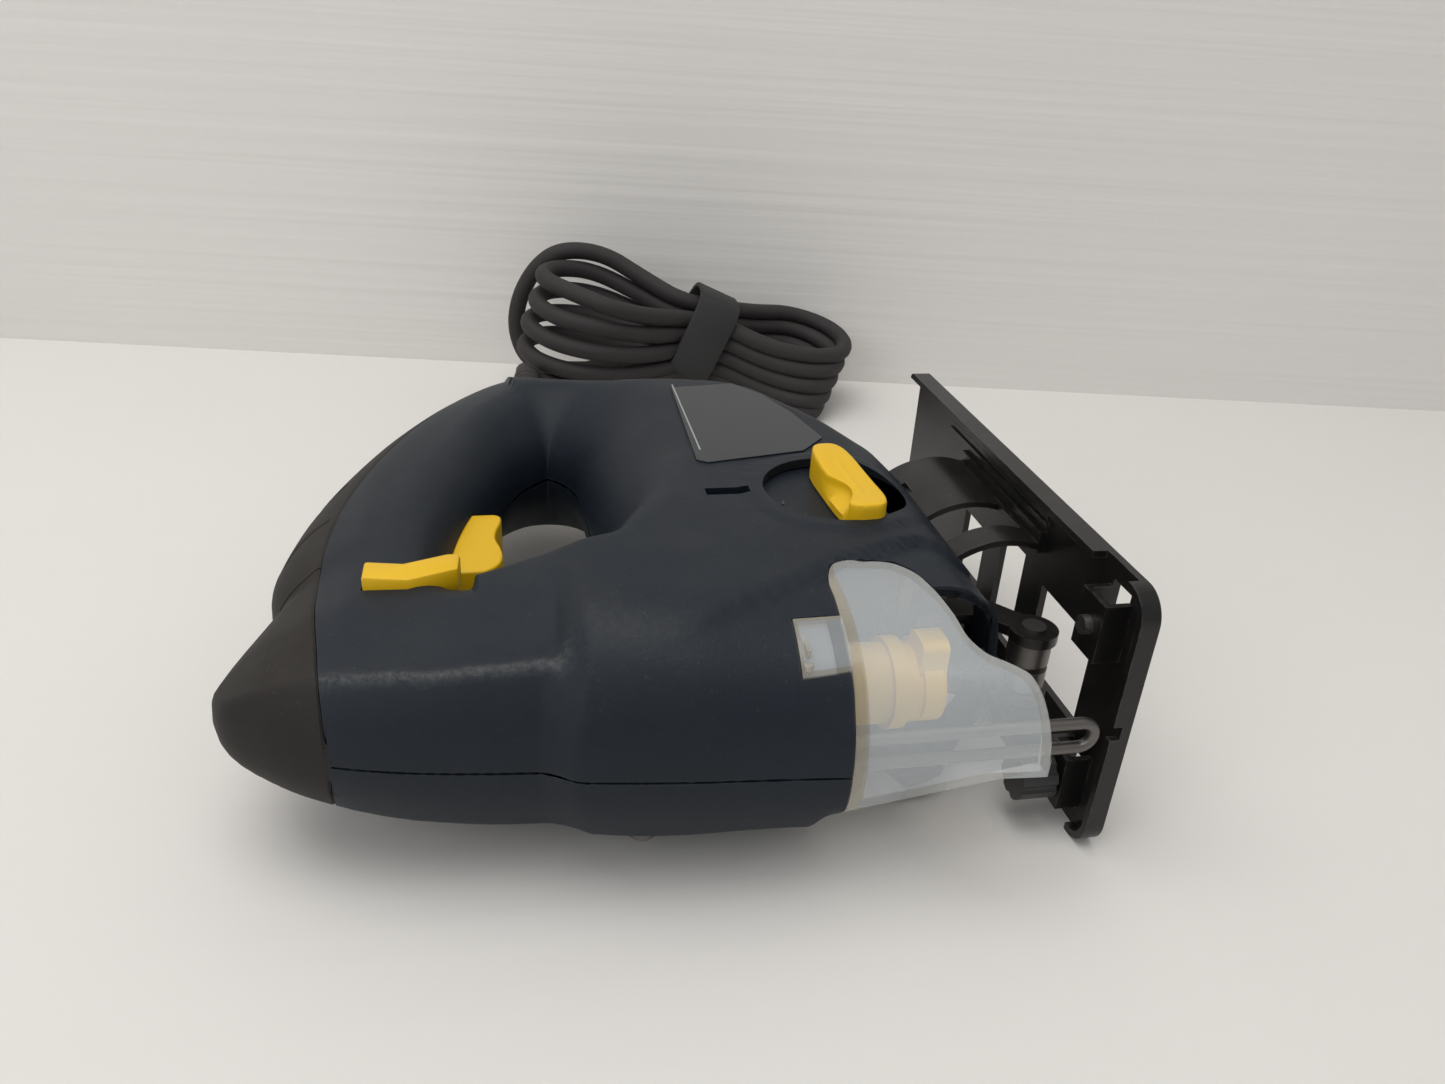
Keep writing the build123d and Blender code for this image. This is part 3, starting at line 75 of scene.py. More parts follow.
# Side outline of the closed form, in runs that meet at its corners. Each place is height, depth and how
# full the rounding from the parting line to the side is there.
OUTLINE = [
    [(216.5, 35, 5.2), (213.5, 26, 5.8), (204, 18, 6.7), (189, 11.4, 7.7), (172, 7.0, 8.5), (156, 4.6, 8.8),
     (142, 3.2, 8.7)],
    [(142, 3.2, 8.7), (138.5, 1.6, 8.7), (134.5, -0.9, 8.7), (131, -1.7, 8.7)],
    [(131, -1.7, 8.7), (107.6, -4.5, 9.0), (90, -5.9, 8.7), (74, -7.4, 8.7), (48, -11, 9.6),
     (28, -12.6, 10.4)],
    [(28, -12.6, 10.4), (24, 0, 10), (23, 30, 13)],
    [(23, 30, 13), (22, 104, 13)],
    [(22, 104, 13), (33, 113, 14), (41, 130, 14), (50, 147, 14), (60, 164, 14), (68, 176, 11)],
    [(68, 176, 11), (84, 190, 9), (98, 197, 8), (112, 201, 7.6), (125, 208, 7), (136, 219, 6), (143, 232, 5)],
    [(143, 232, 5), (159, 215, 5.6), (177, 189, 6), (189, 166, 6), (199, 139, 6.1), (206.3, 113, 6.2),
     (210.2, 88, 6.2)],
    [(210.2, 88, 6.2), (210.2, 78, 6.1), (206.9, 66, 5.9)],
    [(206.9, 66, 5.9), (212.8, 49, 5.4), (216.5, 35, 5.2)],
]
# Edge of the opening in the handle, in the same way.
OPENING = [
    [(157, 58, 8), (161, 66, 7.8), (161.5, 84, 7.5), (158, 106, 7.4), (149, 132, 7.4), (140, 151, 7.4),
     (133, 158, 7.6)],
    [(133, 158, 7.6), (127, 151, 7.8), (123, 128, 8), (121.5, 100, 8.6), (122, 78, 10.5), (125, 62, 13.5)],
    [(125, 62, 13.5), (157, 58, 11)],
]
# Half width of the flat of the side, by height and by depth.
WIDTH_BY_HEIGHT = [
    (10, 12), (20, 15), (24, 19), (37, 31), (46, 34.5), (116, 34.5), (127.5, 33.4), (130, 32.6),
    (136, 29.8), (139, 28.9), (150, 26), (166, 22.6), (186, 20.8), (196, 17.2), (204, 13.0), (211, 8.4),
    (217, 4), (230, 2),
]
WIDTH_BY_DEPTH = [
    (-20, 22), (-8, 24), (0, 26.5), (4, 28.5), (12, 31.5), (25, 33.4), (42, 34.5), (150, 34.5),
    (170, 32), (190, 27), (205, 22.5), (220, 17), (236, 9), (245, 5),
]
# How much lower than the flat of the side the front crest lies above the step, by height.
FRONT_SLOPE = [(131, 0), (137, 5.9), (146, 4.2), (155, 2.6), (171, 1.2), (186, 2.2), (200, 1.5), (214, 0)]
STEP_H = 133.0
# The flat cheek that bevels the right side's front below the guard's top: the side distance is at
# most the first times the height, plus the second times the depth, plus the third.
CHEEK = (0.153, 1.0, 5.84)
# Centre of the rays round the handle, and the power to which a side rounds off from the parting line.
CENTRE = (140.0, 105.0)
ROUNDING = 0.441

# Where the soft grip ends on the side, and the line at which the side steps in before the front.
GRIP_EDGE = [
    (136, 244), (140, 236), (150, 211), (164, 186), (177, 160), (187, 130), (193, 103), (195, 77), (194, 54),
    (190, 26), (187, 4), (186, -4),
]
RIDGE = [(121, 7.0), (112.9, 10.6), (105.8, 14.5), (93, 20.7), (79.4, 27.3), (69.7, 32.5), (56.1, 39.6),
         (44, 44)]
# Ends of the nose bumper and of the grip as angles round the handle's centre, and the grip's grooves, each
# with its depth as a share of the deepest.
NOSE_ANGLE = -1.105
SEAM_ANGLE = -0.528
TAIL_ANGLE = 1.545
GROOVES = [
    ([(207.7, 88), (202, 97.4), (196.9, 99.9)], 1.0),
    ([(204.6, 112.6), (198.1, 122.7), (195.0, 126.4)], 1.0),
    ([(198.6, 134.5), (194.3, 142), (188.6, 152)], 0.8),
    ([(190.5, 158), (185.5, 166), (180.0, 173)], 0.6),
]

# The guard's rear edge, its tab, the room cut in the shells behind it and the chamber of the blade clamp.
GUARD_EDGE = [
    (27.5, -8.6), (30, -7), (34, -4), (38, -1), (41.7, 1.7), (44.4, 5.4), (45.8, 12), (47.8, 22),
    (50.6, 29.5), (54.2, 33.2), (60, 34.6), (67, 33.2), (70.6, 31.2), (72.2, 27), (72.6, 20), (73, 13),
]
GUARD_RIM_H = 69.6
TAB_H = (72.6, 84.2)
TAB_D = (2.0, 14.2)
CHAMBER = [(73.3, -25), (73.3, 43), (54, 43), (54, 52.3), (15, 52.3), (15, -25)]
NOTCH = [
    (73.3, -25), (73.3, 12.3), (72.9, 20), (72.5, 27), (70.9, 31.6), (67, 33.7), (60, 35.1), (53.7, 34.3),
    (50.2, 30), (47.3, 22.3), (44, 22.5), (36, 23), (29, 29), (15, 31), (15, -25),
]

# Axes of the shoe's bracket, the plunger and the cord: height or depth, always on the middle plane.
BRACKET_H = 13.0
BRACKET_R = 26.3
PLUNGER_D = 28.0
CORD_H = 137.0

# Controls, label and screws: corners and places are height and depth.
LABEL = [(91.5, 154), (70, 157), (62, 146), (56, 129), (51.5, 108), (60, 98.5), (90, 92), (93, 94)]
LABEL_LINE = [(91.0, 101), (91.0, 156.6), (90.5, 156.6), (90.5, 101)]
LABEL_SEAT = 33.7
LABEL_FACE = 34.45
LOCK_OUTLINE = [(182.6, 60), (182.6, 51.6), (171.5, 49.4), (159.5, 54), (159.2, 61.6), (162, 62.4),
                (173, 58.2)]
LOCK_SIDE = (15.9, 24.6)
TRIGGER_PROFILE = [
    (166, 79.6), (166, 114.6), (151.2, 114.6), (149.4, 113.4), (149.2, 109.5), (150.4, 104.5), (150.8, 99.5),
    (149.4, 93.5), (148.8, 88), (150.2, 83), (154, 79.6),
]
TRIGGER_W = 9.0
SCREWS = [(196, 42), (159, 19), (118, 11), (64, 158), (112, 180), (160, 182), (50, 62), (49, 130)]
SCREW_SEAT = 2.6
SCREW_HEAD = (3.5, 1.4)
DIAL = (58.0, 72.0)
DIAL_R = 20.0
DIAL_FLOOR = 31.5
TICK = [(-1.1, -0.3), (1.1, -0.3), (1.1, 0.3), (-1.1, 0.3)]
KNOB_AT = (55.6, 70.6)
KNOB_HALF = (18.8, 6.2)
KNOB_SIDE = (32.0, 38.9)
KNOB_TURN = 5.0

# Walls and clearances.
WALL = 2.6
RUBBER = 3.2
RUBBER_BACK = 3.0
GUARD_WALL = 2.0
GAP = 0.3
OUTSIDE = 40.0

# The cord's route from the strain relief and its tail from the coil to the plug: height, depth and height
# above the bench.
CORD_R = 4.0
CORD_ROUTE = [(137, 262, 38), (137.5, 277, 36), (136.5, 292, 30), (131, 305, 21)]
CORD_TAIL = [
    (116, 343.5, 74), (128, 346, 66), (137, 350, 50), (140, 353, 33), (136, 354, 18), (127, 352.5, 11.5),
    (116, 350.5, 11), (104, 350.5, 11),
]
# One turn of the coil: height, and the place across the turn as a share of the left lobe (second) plus
# millimetres (third).
TURN = [
    (128, -0.72, 0), (104, -1.0, 0), (79, -0.70, 0), (61, 0, -7), (44, 0, -7), (22, 0, -17), (1, 0, -24),
    (-17, 0, -17), (-24, 0, 0), (-17, 0, 17), (1, 0, 24), (22, 0, 17), (44, 0, 4), (61, 0, 4), (79, 0.70, 0),
    (104, 1.0, 0), (128, 0.72, 0), (136, 0, 0),
]
# How each turn differs: its lobe as a share, and how much further its left and right ends reach.
TURN_LOBE = [1.0, 0.97, 1.0, 0.94, 0.9, 0.96, 0.92, 0.98]
TURN_REACH = [2, 0, -4, -7, -19, -3, -8, -5]
TURN_END = [14, 10, 6, 2, -2, 8, 4, 0]
# Height of the lowest strand above the bench and the distance up to the next turn, by height on the tool.
LOWEST_STRAND = [(-24, 5), (20, 12), (52, 23), (84, 22), (110, 24), (136, 28)]
TURN_SPACING = [(-24, 6.9), (40, 7.3), (62, 7.3), (104, 11.4), (136, 11.4)]
COIL_D = 320.0
# The strap's middle as height, depth and height above the bench, its half sizes, lean and thickness.
STRAP_AT = (52.0, 319.0, 39.5)
STRAP_HALF = (11.6, 20.0)
STRAP_LEAN = 24.0
STRAP_THICK = 1.7


class JigsawSizes(PropertyGroup):
    """Sizes that a user may change, in millimetres unless a unit is shown."""

    def _size(label, text, value):
        return FloatProperty(name=label, description=text, default=value)

    rounds: IntProperty(name="Rays", description="Rays of the shell's grid round the handle", default=600,
                        min=200)
    crest: _size("Crest softness", "How soft the front crest above the step is", 1.1)
    shoulder: _size("Shoulder softness", "How soft the front shoulder below the step is", 6.0)
    parting: _size("Parting gap", "Half the gap between the two shells", 0.16)
    groove: _size("Grip groove", "Depth of the grooves in the soft grip", 0.9)
    turns: IntProperty(name="Turns", description="Turns of the folded cord", default=5, min=2, max=8)
    tilt: _size("Tilt", "How far the turns tilt up to the rear, in degrees", 8.0)
    lobe: _size("Lobe", "Half depth of the coil's left lobe", 25.5)
    strap_width: _size("Strap width", "Width of the strap round the coil", 20.0)


class JigsawColours(PropertyGroup):
    """Base colours of the finishes, in linear values."""

    def _colour(label, text, value):
        return FloatVectorProperty(name=label, description=text, subtype="COLOR", default=value, min=0, max=1)

    navy: _colour("Navy", "Textured plastic of the shells", (0.0078, 0.0122, 0.0190))
    rubber: _colour("Rubber", "Soft grip and nose", (0.0150, 0.0125, 0.0108))
    yellow: _colour("Yellow", "Controls and clamp collar", (0.76, 0.455, 0.005))
    black: _colour("Black", "Cord, plug and knob of the guide", (0.0065, 0.0058, 0.0052))
    paint: _colour("Paint", "Black paint of the shoe", (0.0060, 0.0054, 0.0052))
    clear: _colour("Clear", "Tint of the clear guard", (0.46, 0.44, 0.39))
    floor: _colour("Floor", "Bench and wall", (0.74, 0.72, 0.69))


# ---------------------------------------------------------------- numpy tools

def place(h, d, w):
    """Height, depth and side distance as points in metres: X = sole - h, Y = front + d, Z = middle + w."""
    h, d, w = np.broadcast_arrays(*[np.asarray(v, float) for v in (h, d, w)])
    return np.stack([SOLE - h * MM, FRONT + d * MM, MIDDLE + w * MM], -1)


def curve_through(points, spacing):
    """A cubic curve through the points: chord lengths as knots, and at each point the slope of the parabola
    through it and its neighbours. Two points give a straight run."""
    p = np.array(points, float)
    knots = np.r_[0, np.cumsum(np.linalg.norm(np.diff(p[:, :2], axis=0), axis=1))]
    t = np.linspace(0, knots[-1], max(int(knots[-1] / spacing), 2) + 1)
    if len(p) < 3:
        return p[0] + (p[-1] - p[0]) * (t / knots[-1])[:, None]
    slope = np.gradient(p, knots, axis=0, edge_order=2)
    i = np.clip(np.searchsorted(knots, t, side="right") - 1, 0, len(p) - 2)
    step = (knots[i + 1] - knots[i])[:, None]
    u = (t - knots[i])[:, None] / step
    return (p[i] * (1 + 2 * u) * (1 - u) ** 2 + p[i + 1] * u ** 2 * (3 - 2 * u)
            + step * (slope[i] * u * (1 - u) ** 2 - slope[i + 1] * u ** 2 * (1 - u)))


def closed_line(runs, spacing=0.8):
    """The runs' curves joined into one closed line, each joint once."""
    return np.concatenate([curve_through(run, spacing)[:-1] for run in runs])


def blurred(rows, reach):
    """A table of places and values at every quarter millimetre, averaged under a bell curve of that reach."""
    places, values = np.array(rows, float).T
    x = np.arange(places[0], places[-1], 0.25)
    bell = np.exp(-0.5 * (np.arange(-4 * reach, 4 * reach + 0.1, 0.25) / reach) ** 2)
    y = np.interp(x, places, values)
    side = len(bell) // 2
    return x, np.convolve(np.pad(y, side, mode="edge"), bell / bell.sum(), mode="valid")[:len(x)]


def nearest(h, d, line, closed=True):
    """Least distance from each place to a line of short straight pieces, and its third column there."""
    a = line if closed else line[:-1]
    ab = (np.roll(line, -1, 0) - line if closed else np.diff(line, axis=0))
    flat = np.stack([np.ravel(h), np.ravel(d)], 1)
    gaps, marks = np.empty(len(flat)), np.empty(len(flat))
    length = (ab[:, :2] ** 2).sum(1)
    third = a.shape[1] > 2
    for part in np.array_split(np.arange(len(flat)), max(1, len(flat) // 4000)):
        qh = flat[part, :1] - a[:, 0]
        qd = flat[part, 1:] - a[:, 1]
        t = np.clip((qh * ab[:, 0] + qd * ab[:, 1]) / length, 0, 1)
        gap = (qh - t * ab[:, 0]) ** 2 + (qd - t * ab[:, 1]) ** 2
        i = gap.argmin(1)
        rows = np.arange(len(part))
        gaps[part] = np.sqrt(gap[rows, i])
        marks[part] = a[i, 2] + t[rows, i] * ab[i, 2] if third else 0
    return gaps.reshape(np.shape(h)), marks.reshape(np.shape(h))


def soft_min(a, b, k):
    """The lesser of a and b, rounded over a difference of k by taking off (k - |a - b|)^2 / 4k."""
    k = np.maximum(k, 1e-6)
    return np.minimum(a, b) - np.maximum(k - np.abs(a - b), 0) ** 2 / (4 * k)


def smooth_step(x):
    """3x^2 - 2x^3 of x held between 0 and 1."""
    x = np.clip(x, 0, 1)
    return x * x * (3 - 2 * x)


def polar_radius(line, angle):
    """Radius of a star-shaped line at each angle round the handle's centre, between its own points."""
    a = np.arctan2(line[:, 1] - CENTRE[1], line[:, 0] - CENTRE[0])
    r = np.hypot(line[:, 1] - CENTRE[1], line[:, 0] - CENTRE[0])
    order = np.argsort(a)
    return np.interp(angle, a[order], r[order], period=2 * pi)


def slant(radius, angle):
    """How much longer the way along a ray is than square to the line: root of 1 + (r'/r)^2, at most 2.5."""
    return np.minimum(np.sqrt(1 + (np.gradient(radius, angle) / radius) ** 2), 2.5)


OUTER_LINE = closed_line(OUTLINE)
INNER_LINE = closed_line(OPENING)
EDGE_LINE = curve_through(GRIP_EDGE, 1.0)
RIDGE_LINE = np.array(RIDGE, float)
SIDE_BY_HEIGHT = blurred(WIDTH_BY_HEIGHT, 1.3)
SIDE_BY_DEPTH = blurred(WIDTH_BY_DEPTH, 2.5)


def side_width(h, d):
    """Half width of the flat of the side: the lesser of two blurred profiles, less the hollow in front of the
    ridge and the front's slope, and a little more on the plateau round the dial."""
    w = soft_min(np.interp(h, *SIDE_BY_HEIGHT), np.interp(d, *SIDE_BY_DEPTH), 2.0)
    ridge_d = np.interp(h, RIDGE_LINE[::-1, 0], RIDGE_LINE[::-1, 1])
    past = (ridge_d - d) * 0.88
    fade = smooth_step((119 - h) / 22)
    hollow = 1.7 * smooth_step(past / 2.2) * fade * smooth_step((d + 6) / 8)
    ring = np.hypot(h - DIAL[0], d - DIAL[1])
    plateau = 0.7 * (1 - smooth_step((ring - 24.0) / 1.6))
    low_front = np.interp(h, *np.array(FRONT_SLOPE).T) * (1 - smooth_step((d - 11) / 34))
    return w - hollow + plateau - low_front


def half_width(h, d, inset, sizes, right=False):
    """Half width of the form with every wall moved in by inset. From the parting line it grows as the
    fullness times the distance from the outline to the power ROUNDING, until it meets the side; the same from
    the opening's edge. The meetings are rounded, crisply on the front above the step, and the right side is
    held under its cheek. Also gives how close a place is to the front crest, the mask of a pale line there
    of painted highlight and wear."""
    out, full_out = nearest(h, d, OUTER_LINE)
    into, full_in = nearest(h, d, INNER_LINE)
    side = side_width(h, d) - inset
    front = full_out * np.maximum(out - inset, 0) ** ROUNDING
    hole = full_in * np.maximum(into - inset, 0) ** ROUNDING
    on_front = smooth_step((60 - d) / 25)
    above = smooth_step((h - STEP_H) / 6)
    soft = sizes.shoulder + (sizes.crest - sizes.shoulder) * above * on_front
    w = soft_min(front, side, soft)
    # Closeness to the front crest: mask of the pale line that the navy finish paints, partly painted
    # highlight and partly wear; on the shoulder below the step it is weaker.
    crest = np.exp(-((front - side) / (1.3 + 2.6 * (1 - above))) ** 2) * on_front
    crest = crest * (above + 0.22 * (1 - above) * smooth_step((h - 96) / 26))
    w = soft_min(w, hole, 5.5)
    cheek = CHEEK[0] * h + CHEEK[1] * d + CHEEK[2] - 1.4 * inset + 40 * smooth_step((h - 76) / 14)
    w = np.where(right, soft_min(w, np.maximum(cheek, 0), 3.0), w)
    return np.maximum(w, 0), crest


def grid_faces(rows, columns, wrap_rows, wrap_columns):
    """Quads between neighbours of a grid of rows by columns, round the seam where it is closed."""
    r = np.arange(rows if wrap_rows else rows - 1)[:, None]
    c = np.arange(columns if wrap_columns else columns - 1)[None, :]
    r2, c2 = (r + 1) % rows, (c + 1) % columns
    quads = [r * columns + c, r2 * columns + c, r2 * columns + c2, r * columns + c2]
    return np.stack([np.broadcast_to(q, (len(r), c.shape[1])) for q in quads], -1).reshape(-1, 4)


def make_piece(name, parts, attributes=None):
    """One mesh object of several closed parts, each (points, list of face arrays, material index). A part is
    turned so that its volume, the sum of its triangles' triple products, is positive."""
    points, faces, index, start = [], [], [], 0
    for part_points, part_faces, material in parts:
        p = np.asarray(part_points, float).reshape(-1, 3)
        volume = 0.0
        for block in part_faces:
            corners = p[block]
            for k in range(1, block.shape[1] - 1):
                triple = np.einsum("ij,ij->i", corners[:, 0], np.cross(corners[:, k], corners[:, k + 1]))
                volume += triple.sum()
        for block in part_faces:
            turned = block if volume > 0 else block[:, ::-1]
            faces += (turned + start).tolist()
            index += [material] * len(block)
        points.append(p)
        start += len(p)
    mesh = bpy.data.meshes.new(name)
    mesh.from_pydata(np.concatenate(points).tolist(), [], faces)
    mesh.polygons.foreach_set("material_index", np.array(index, np.int32))
    for key, values in (attributes or {}).items():
        layer = mesh.attributes.new(key, "FLOAT", "POINT")
        layer.data.foreach_set("value", np.asarray(values, np.float32).ravel())
    mesh.update()
    obj = bpy.data.objects.new(name, mesh)
    bpy.context.scene.collection.objects.link(obj)
    smooth(obj, 40)
    return obj


def smooth(obj, angle):
    """Smooth shading, with edges steeper than an angle in degrees kept sharp."""
    obj.data.polygons.foreach_set("use_smooth", np.ones(len(obj.data.polygons), bool))
    obj.data.set_sharp_from_angle(angle=radians(angle))
    obj.data.update()


def between(low, high):
    """The closed solid between two rings of matched points: quads round it and a cap at each end."""
    n = len(low)
    ring = np.arange(n)
    sides = np.stack([ring, (ring + 1) % n, (ring + 1) % n + n, ring + n], 1)
    return np.concatenate([low, high]), [sides, np.stack([ring[::-1], ring + n])], 0


def prism(points, w0, w1):
    """A polygon in height and depth carried from side distance w0 to w1."""
    p = np.array(points, float)
    return between(place(p[:, 0], p[:, 1], w0), place(p[:, 0], p[:, 1], w1))


def box(h0, h1, d0, d1, w0, w1):
    """A block between two heights, two depths and two side distances."""
    return prism([(h0, d0), (h1, d0), (h1, d1), (h0, d1)], w0, w1)


def disc(h, d, r, w0, w1, count=64):
    """A round prism across the tool."""
    a = np.linspace(0, 2 * pi, count, endpoint=False)
    return prism(np.stack([h + r * np.cos(a), d + r * np.sin(a)], 1), w0, w1)


def rod(axis, at_one, at_two, r, low, high, count=48):
    """A round bar along the height (axis 0) or the depth (axis 1), at the two other coordinates."""
    a = np.linspace(0, 2 * pi, count, endpoint=False)
    one, two = at_one + r * np.cos(a), at_two + r * np.sin(a)
    ends = [place(along, one, two) if axis == 0 else place(one, along, two) for along in (low, high)]
    return between(*ends)


def moved_out(points, distance):
    """The corners of a polygon moved square to its sides by a distance, outwards where it is positive."""
    p = np.array(points, float)
    before, after = np.roll(p, 1, 0), np.roll(p, -1, 0)
    turn = np.sign((p[:, 0] * after[:, 1] - after[:, 0] * p[:, 1]).sum())
    a, b = p - before, after - p
    a /= np.linalg.norm(a, axis=1)[:, None]
    b /= np.linalg.norm(b, axis=1)[:, None]
    normal = np.stack([a[:, 1] + b[:, 1], -a[:, 0] - b[:, 0]], 1) * turn
    return p + distance * normal * 2 / (normal ** 2).sum(1)[:, None]


def carve(obj, shapes, operation="DIFFERENCE"):
    """Cuts closed shapes out of an object, or joins or keeps them, with exact booleans that are applied."""
    group = bpy.data.collections.new("cutters")
    bpy.context.scene.collection.children.link(group)
    cutters = []
    for i, shape in enumerate(shapes):
        cutter = make_piece(f"cutter_{i}", [shape])
        bpy.context.scene.collection.objects.unlink(cutter)
        group.objects.link(cutter)
        cutters.append(cutter)
    modifier = obj.modifiers.new("carve", "BOOLEAN")
    modifier.operation = operation
    modifier.solver = "EXACT"
    modifier.operand_type = "COLLECTION"
    modifier.collection = group
    apply_modifiers(obj)
    for cutter in cutters:
        bpy.data.meshes.remove(cutter.data)
    bpy.data.collections.remove(group)


def apply_modifiers(obj):
    """Puts the mesh as its modifiers leave it into the object, and takes them off."""
    bpy.context.view_layer.update()
    mesh = bpy.data.meshes.new_from_object(obj.evaluated_get(bpy.context.evaluated_depsgraph_get()))
    old = obj.data
    obj.modifiers.clear()
    obj.data = mesh
    bpy.data.meshes.remove(old)


def bevelled(obj, width, segments=3):
    """Rounds an object's edges of more than 35 degrees with an applied bevel."""
    modifier = obj.modifiers.new("bevel", "BEVEL")
    modifier.width = width * MM
    modifier.segments = segments
    modifier.limit_method = "ANGLE"
    modifier.angle_limit = radians(35)
    apply_modifiers(obj)
    smooth(obj, 30)


def finish_piece(obj, body, materials, nodes=()):
    """Gives a piece its materials, its body and the CAD nodes it stands for."""
    for name in materials:
        obj.data.materials.append(bpy.data.materials[name])
    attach(obj, body)
    if nodes:
        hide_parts(*nodes)


# ---------------------------------------------------------------- shells and soft grip

def shell_angles(count):
    """Even angles round the handle, with the outline's corners taken in exactly."""
    angle = np.linspace(-pi, pi, count, endpoint=False)
    corners = np.array([run[0][:2] for run in OUTLINE])
    exact = np.arctan2(corners[:, 1] - CENTRE[1], corners[:, 0] - CENTRE[0])
    angle[np.abs(angle[:, None] - exact).argmin(0)] = exact
    return np.sort(angle)


def shell_grid(side, sizes):
    """One shell as a ring-shaped grid: rays round the handle by a closed loop across the wall. The loop runs
    over the outer face from the opening to the grip's edge, down under the rubber to the parting plane, and
    back inside."""
    angle = shell_angles(sizes.rounds)
    r_out, r_in = polar_radius(OUTER_LINE, angle), polar_radius(INNER_LINE, angle)
    beyond = [(120, 250), (30, 250), (-40, 105), (30, -60), (120, -60)]
    edge = polar_radius(np.concatenate([EDGE_LINE[:, :2], beyond]), angle)
    long_way, long_in = slant(r_out, angle), slant(r_in, angle)
    gripped = edge < r_out - 1.5
    r_a = np.where(gripped, edge, r_in + 0.97 * (r_out - r_in))
    sunk = np.where(gripped, RUBBER, 0.0)
    end = r_out - sunk * long_way
    t_a, t_b = np.linspace(0, 1, 60), np.linspace(0, 1, 22)
    u_a, u_b = (1 - np.cos(pi * t_a)) / 2, np.sin(pi * t_b / 2)
    t_c, t_e = np.linspace(0, 1, 7), np.linspace(0, 1, 16)
    u_c, u_e = np.sin(pi * t_c / 2)[::-1], (1 - np.cos(pi * t_e))[::-1] / 2
    start = r_a + np.where(gripped, 0.02, 0.0)
    inner_end = end - WALL * long_way
    inner_a = np.minimum(r_a - np.where(gripped, 4.0, 0.0), inner_end - 1.0)
    inner_in = r_in + WALL * long_in
    radius = np.concatenate([
        r_in[:, None] + (r_a - r_in)[:, None] * u_a,
        start[:, None] + (end - start)[:, None] * u_b,
        inner_a[:, None] + (inner_end - inner_a)[:, None] * u_c,
        inner_in[:, None] + (inner_a - inner_in)[:, None] * u_e,
    ], 1)
    inset = np.concatenate([
        np.zeros((len(angle), len(t_a))),
        np.repeat(sunk[:, None], len(t_b), 1),
        np.repeat(sunk[:, None] + WALL, len(t_c), 1),
        np.full((len(angle), len(t_e)), WALL),
    ], 1)
    h = CENTRE[0] + radius * np.cos(angle)[:, None]
    d = CENTRE[1] + radius * np.sin(angle)[:, None]
    w, crest = half_width(h, d, inset, sizes, side < 0)
    points = place(h, d, side * np.maximum(w, sizes.parting))
    return points, grid_faces(*h.shape, True, True), crest * (inset < 0.1)


def solid_form(side, sizes, inset):
    """The closed form within the outline as a plain solid: rays over its outer face, and a flat cap."""
    angle = shell_angles(sizes.rounds // 3)
    r_out = polar_radius(OUTER_LINE, angle) - inset * slant(polar_radius(OUTER_LINE, angle), angle)
    r_in = polar_radius(INNER_LINE, angle) + inset
    u = (1 - np.cos(pi * np.linspace(0, 1, 26))) / 2
    back = r_out * 0.55 + r_in * 0.45
    radius = np.concatenate([r_in[:, None] + (r_out - r_in)[:, None] * u, back[:, None]], 1)
    h = CENTRE[0] + radius * np.cos(angle)[:, None]
    d = CENTRE[1] + radius * np.sin(angle)[:, None]
    w, _ = half_width(h, d, inset, sizes, side < 0)
    w[:, -1] = 0
    points = place(h, d, side * np.maximum(w, sizes.parting))
    return points, [grid_faces(*h.shape, True, True)], 0


def shell_cutters(side, sizes):
    """Everything that is cut out of a shell, as closed shapes: the room for the guard, bracket, trigger, cord
    and plunger and four vents, and on the left the dial, label, slot and lock, on the right the screws."""
    cuts = [
        prism(NOTCH, -OUTSIDE, OUTSIDE),
        rod(1, BRACKET_H, 0, BRACKET_R, 40, 232, 96),
        box(152, 167, 79, 115.2, -TRIGGER_W - GAP, TRIGGER_W + GAP),
        rod(1, CORD_H, 0, 6, 202, 240),
        rod(1, CORD_H, 0, 8, 200, 212),
        rod(0, PLUNGER_D, 0, 10.0, 40, 92.6),
        rod(0, PLUNGER_D, 0, 13.0, 38, 84.2),
        box(38, 84.2, 21, 35, 0, 16.6),
        disc(44, 46, 2.5, -22, 22, 24),
    ]
    for i in range(4):
        vent_d = 175.5 + 4.6 * i
        cuts.append(box(76 + 2 * i, 99, vent_d, vent_d + 2.2, 14 * side, OUTSIDE * side))
    if side > 0:
        cuts += [
            disc(*DIAL, DIAL_R, DIAL_FLOOR, 45, 128),
            disc(*DIAL, 4.05, 20, 33, 32),
            prism(moved_out(LABEL, 0.1), LABEL_SEAT, OUTSIDE),
            box(81.8, 94, 71.4, 75.6, 26, OUTSIDE),
            prism(moved_out(LOCK_OUTLINE, 0.3), 13, OUTSIDE),
            prism(moved_out(LOCK_OUTLINE, 1.3), 15.7, 18.3),
        ]
    else:
        cuts += [disc(h, d, 3.9, -45, -screw_depth(h, d, sizes), 32) for h, d in SCREWS]
    return cuts


def screw_depth(h, d, sizes):
    """Side distance of the seat under a screw's head, inside the right side."""
    w, _ = half_width(np.array([h], float), np.array([d], float), 0.0, sizes, True)
    return float(w[0]) - SCREW_SEAT


def screw_heads(sizes):
    """A flat head in each screw's counterbore on the right side."""
    radius, height = SCREW_HEAD
    seats = [(h, d, -screw_depth(h, d, sizes)) for h, d in SCREWS]
    return [disc(h, d, radius, seat - height, seat + 1.0, 40) for h, d, seat in seats]


def screw_slots(sizes):
    """The crossed recess in each screw's head."""
    shapes = []
    for h, d in SCREWS:
        top = -screw_depth(h, d, sizes) - SCREW_HEAD[1]
        shapes += [box(h - 2.2, h + 2.2, d - 0.4, d + 0.4, top - 1, top + 1.1),
                   box(h - 0.4, h + 0.4, d - 2.2, d + 2.2, top - 1, top + 1.2)]
    return shapes


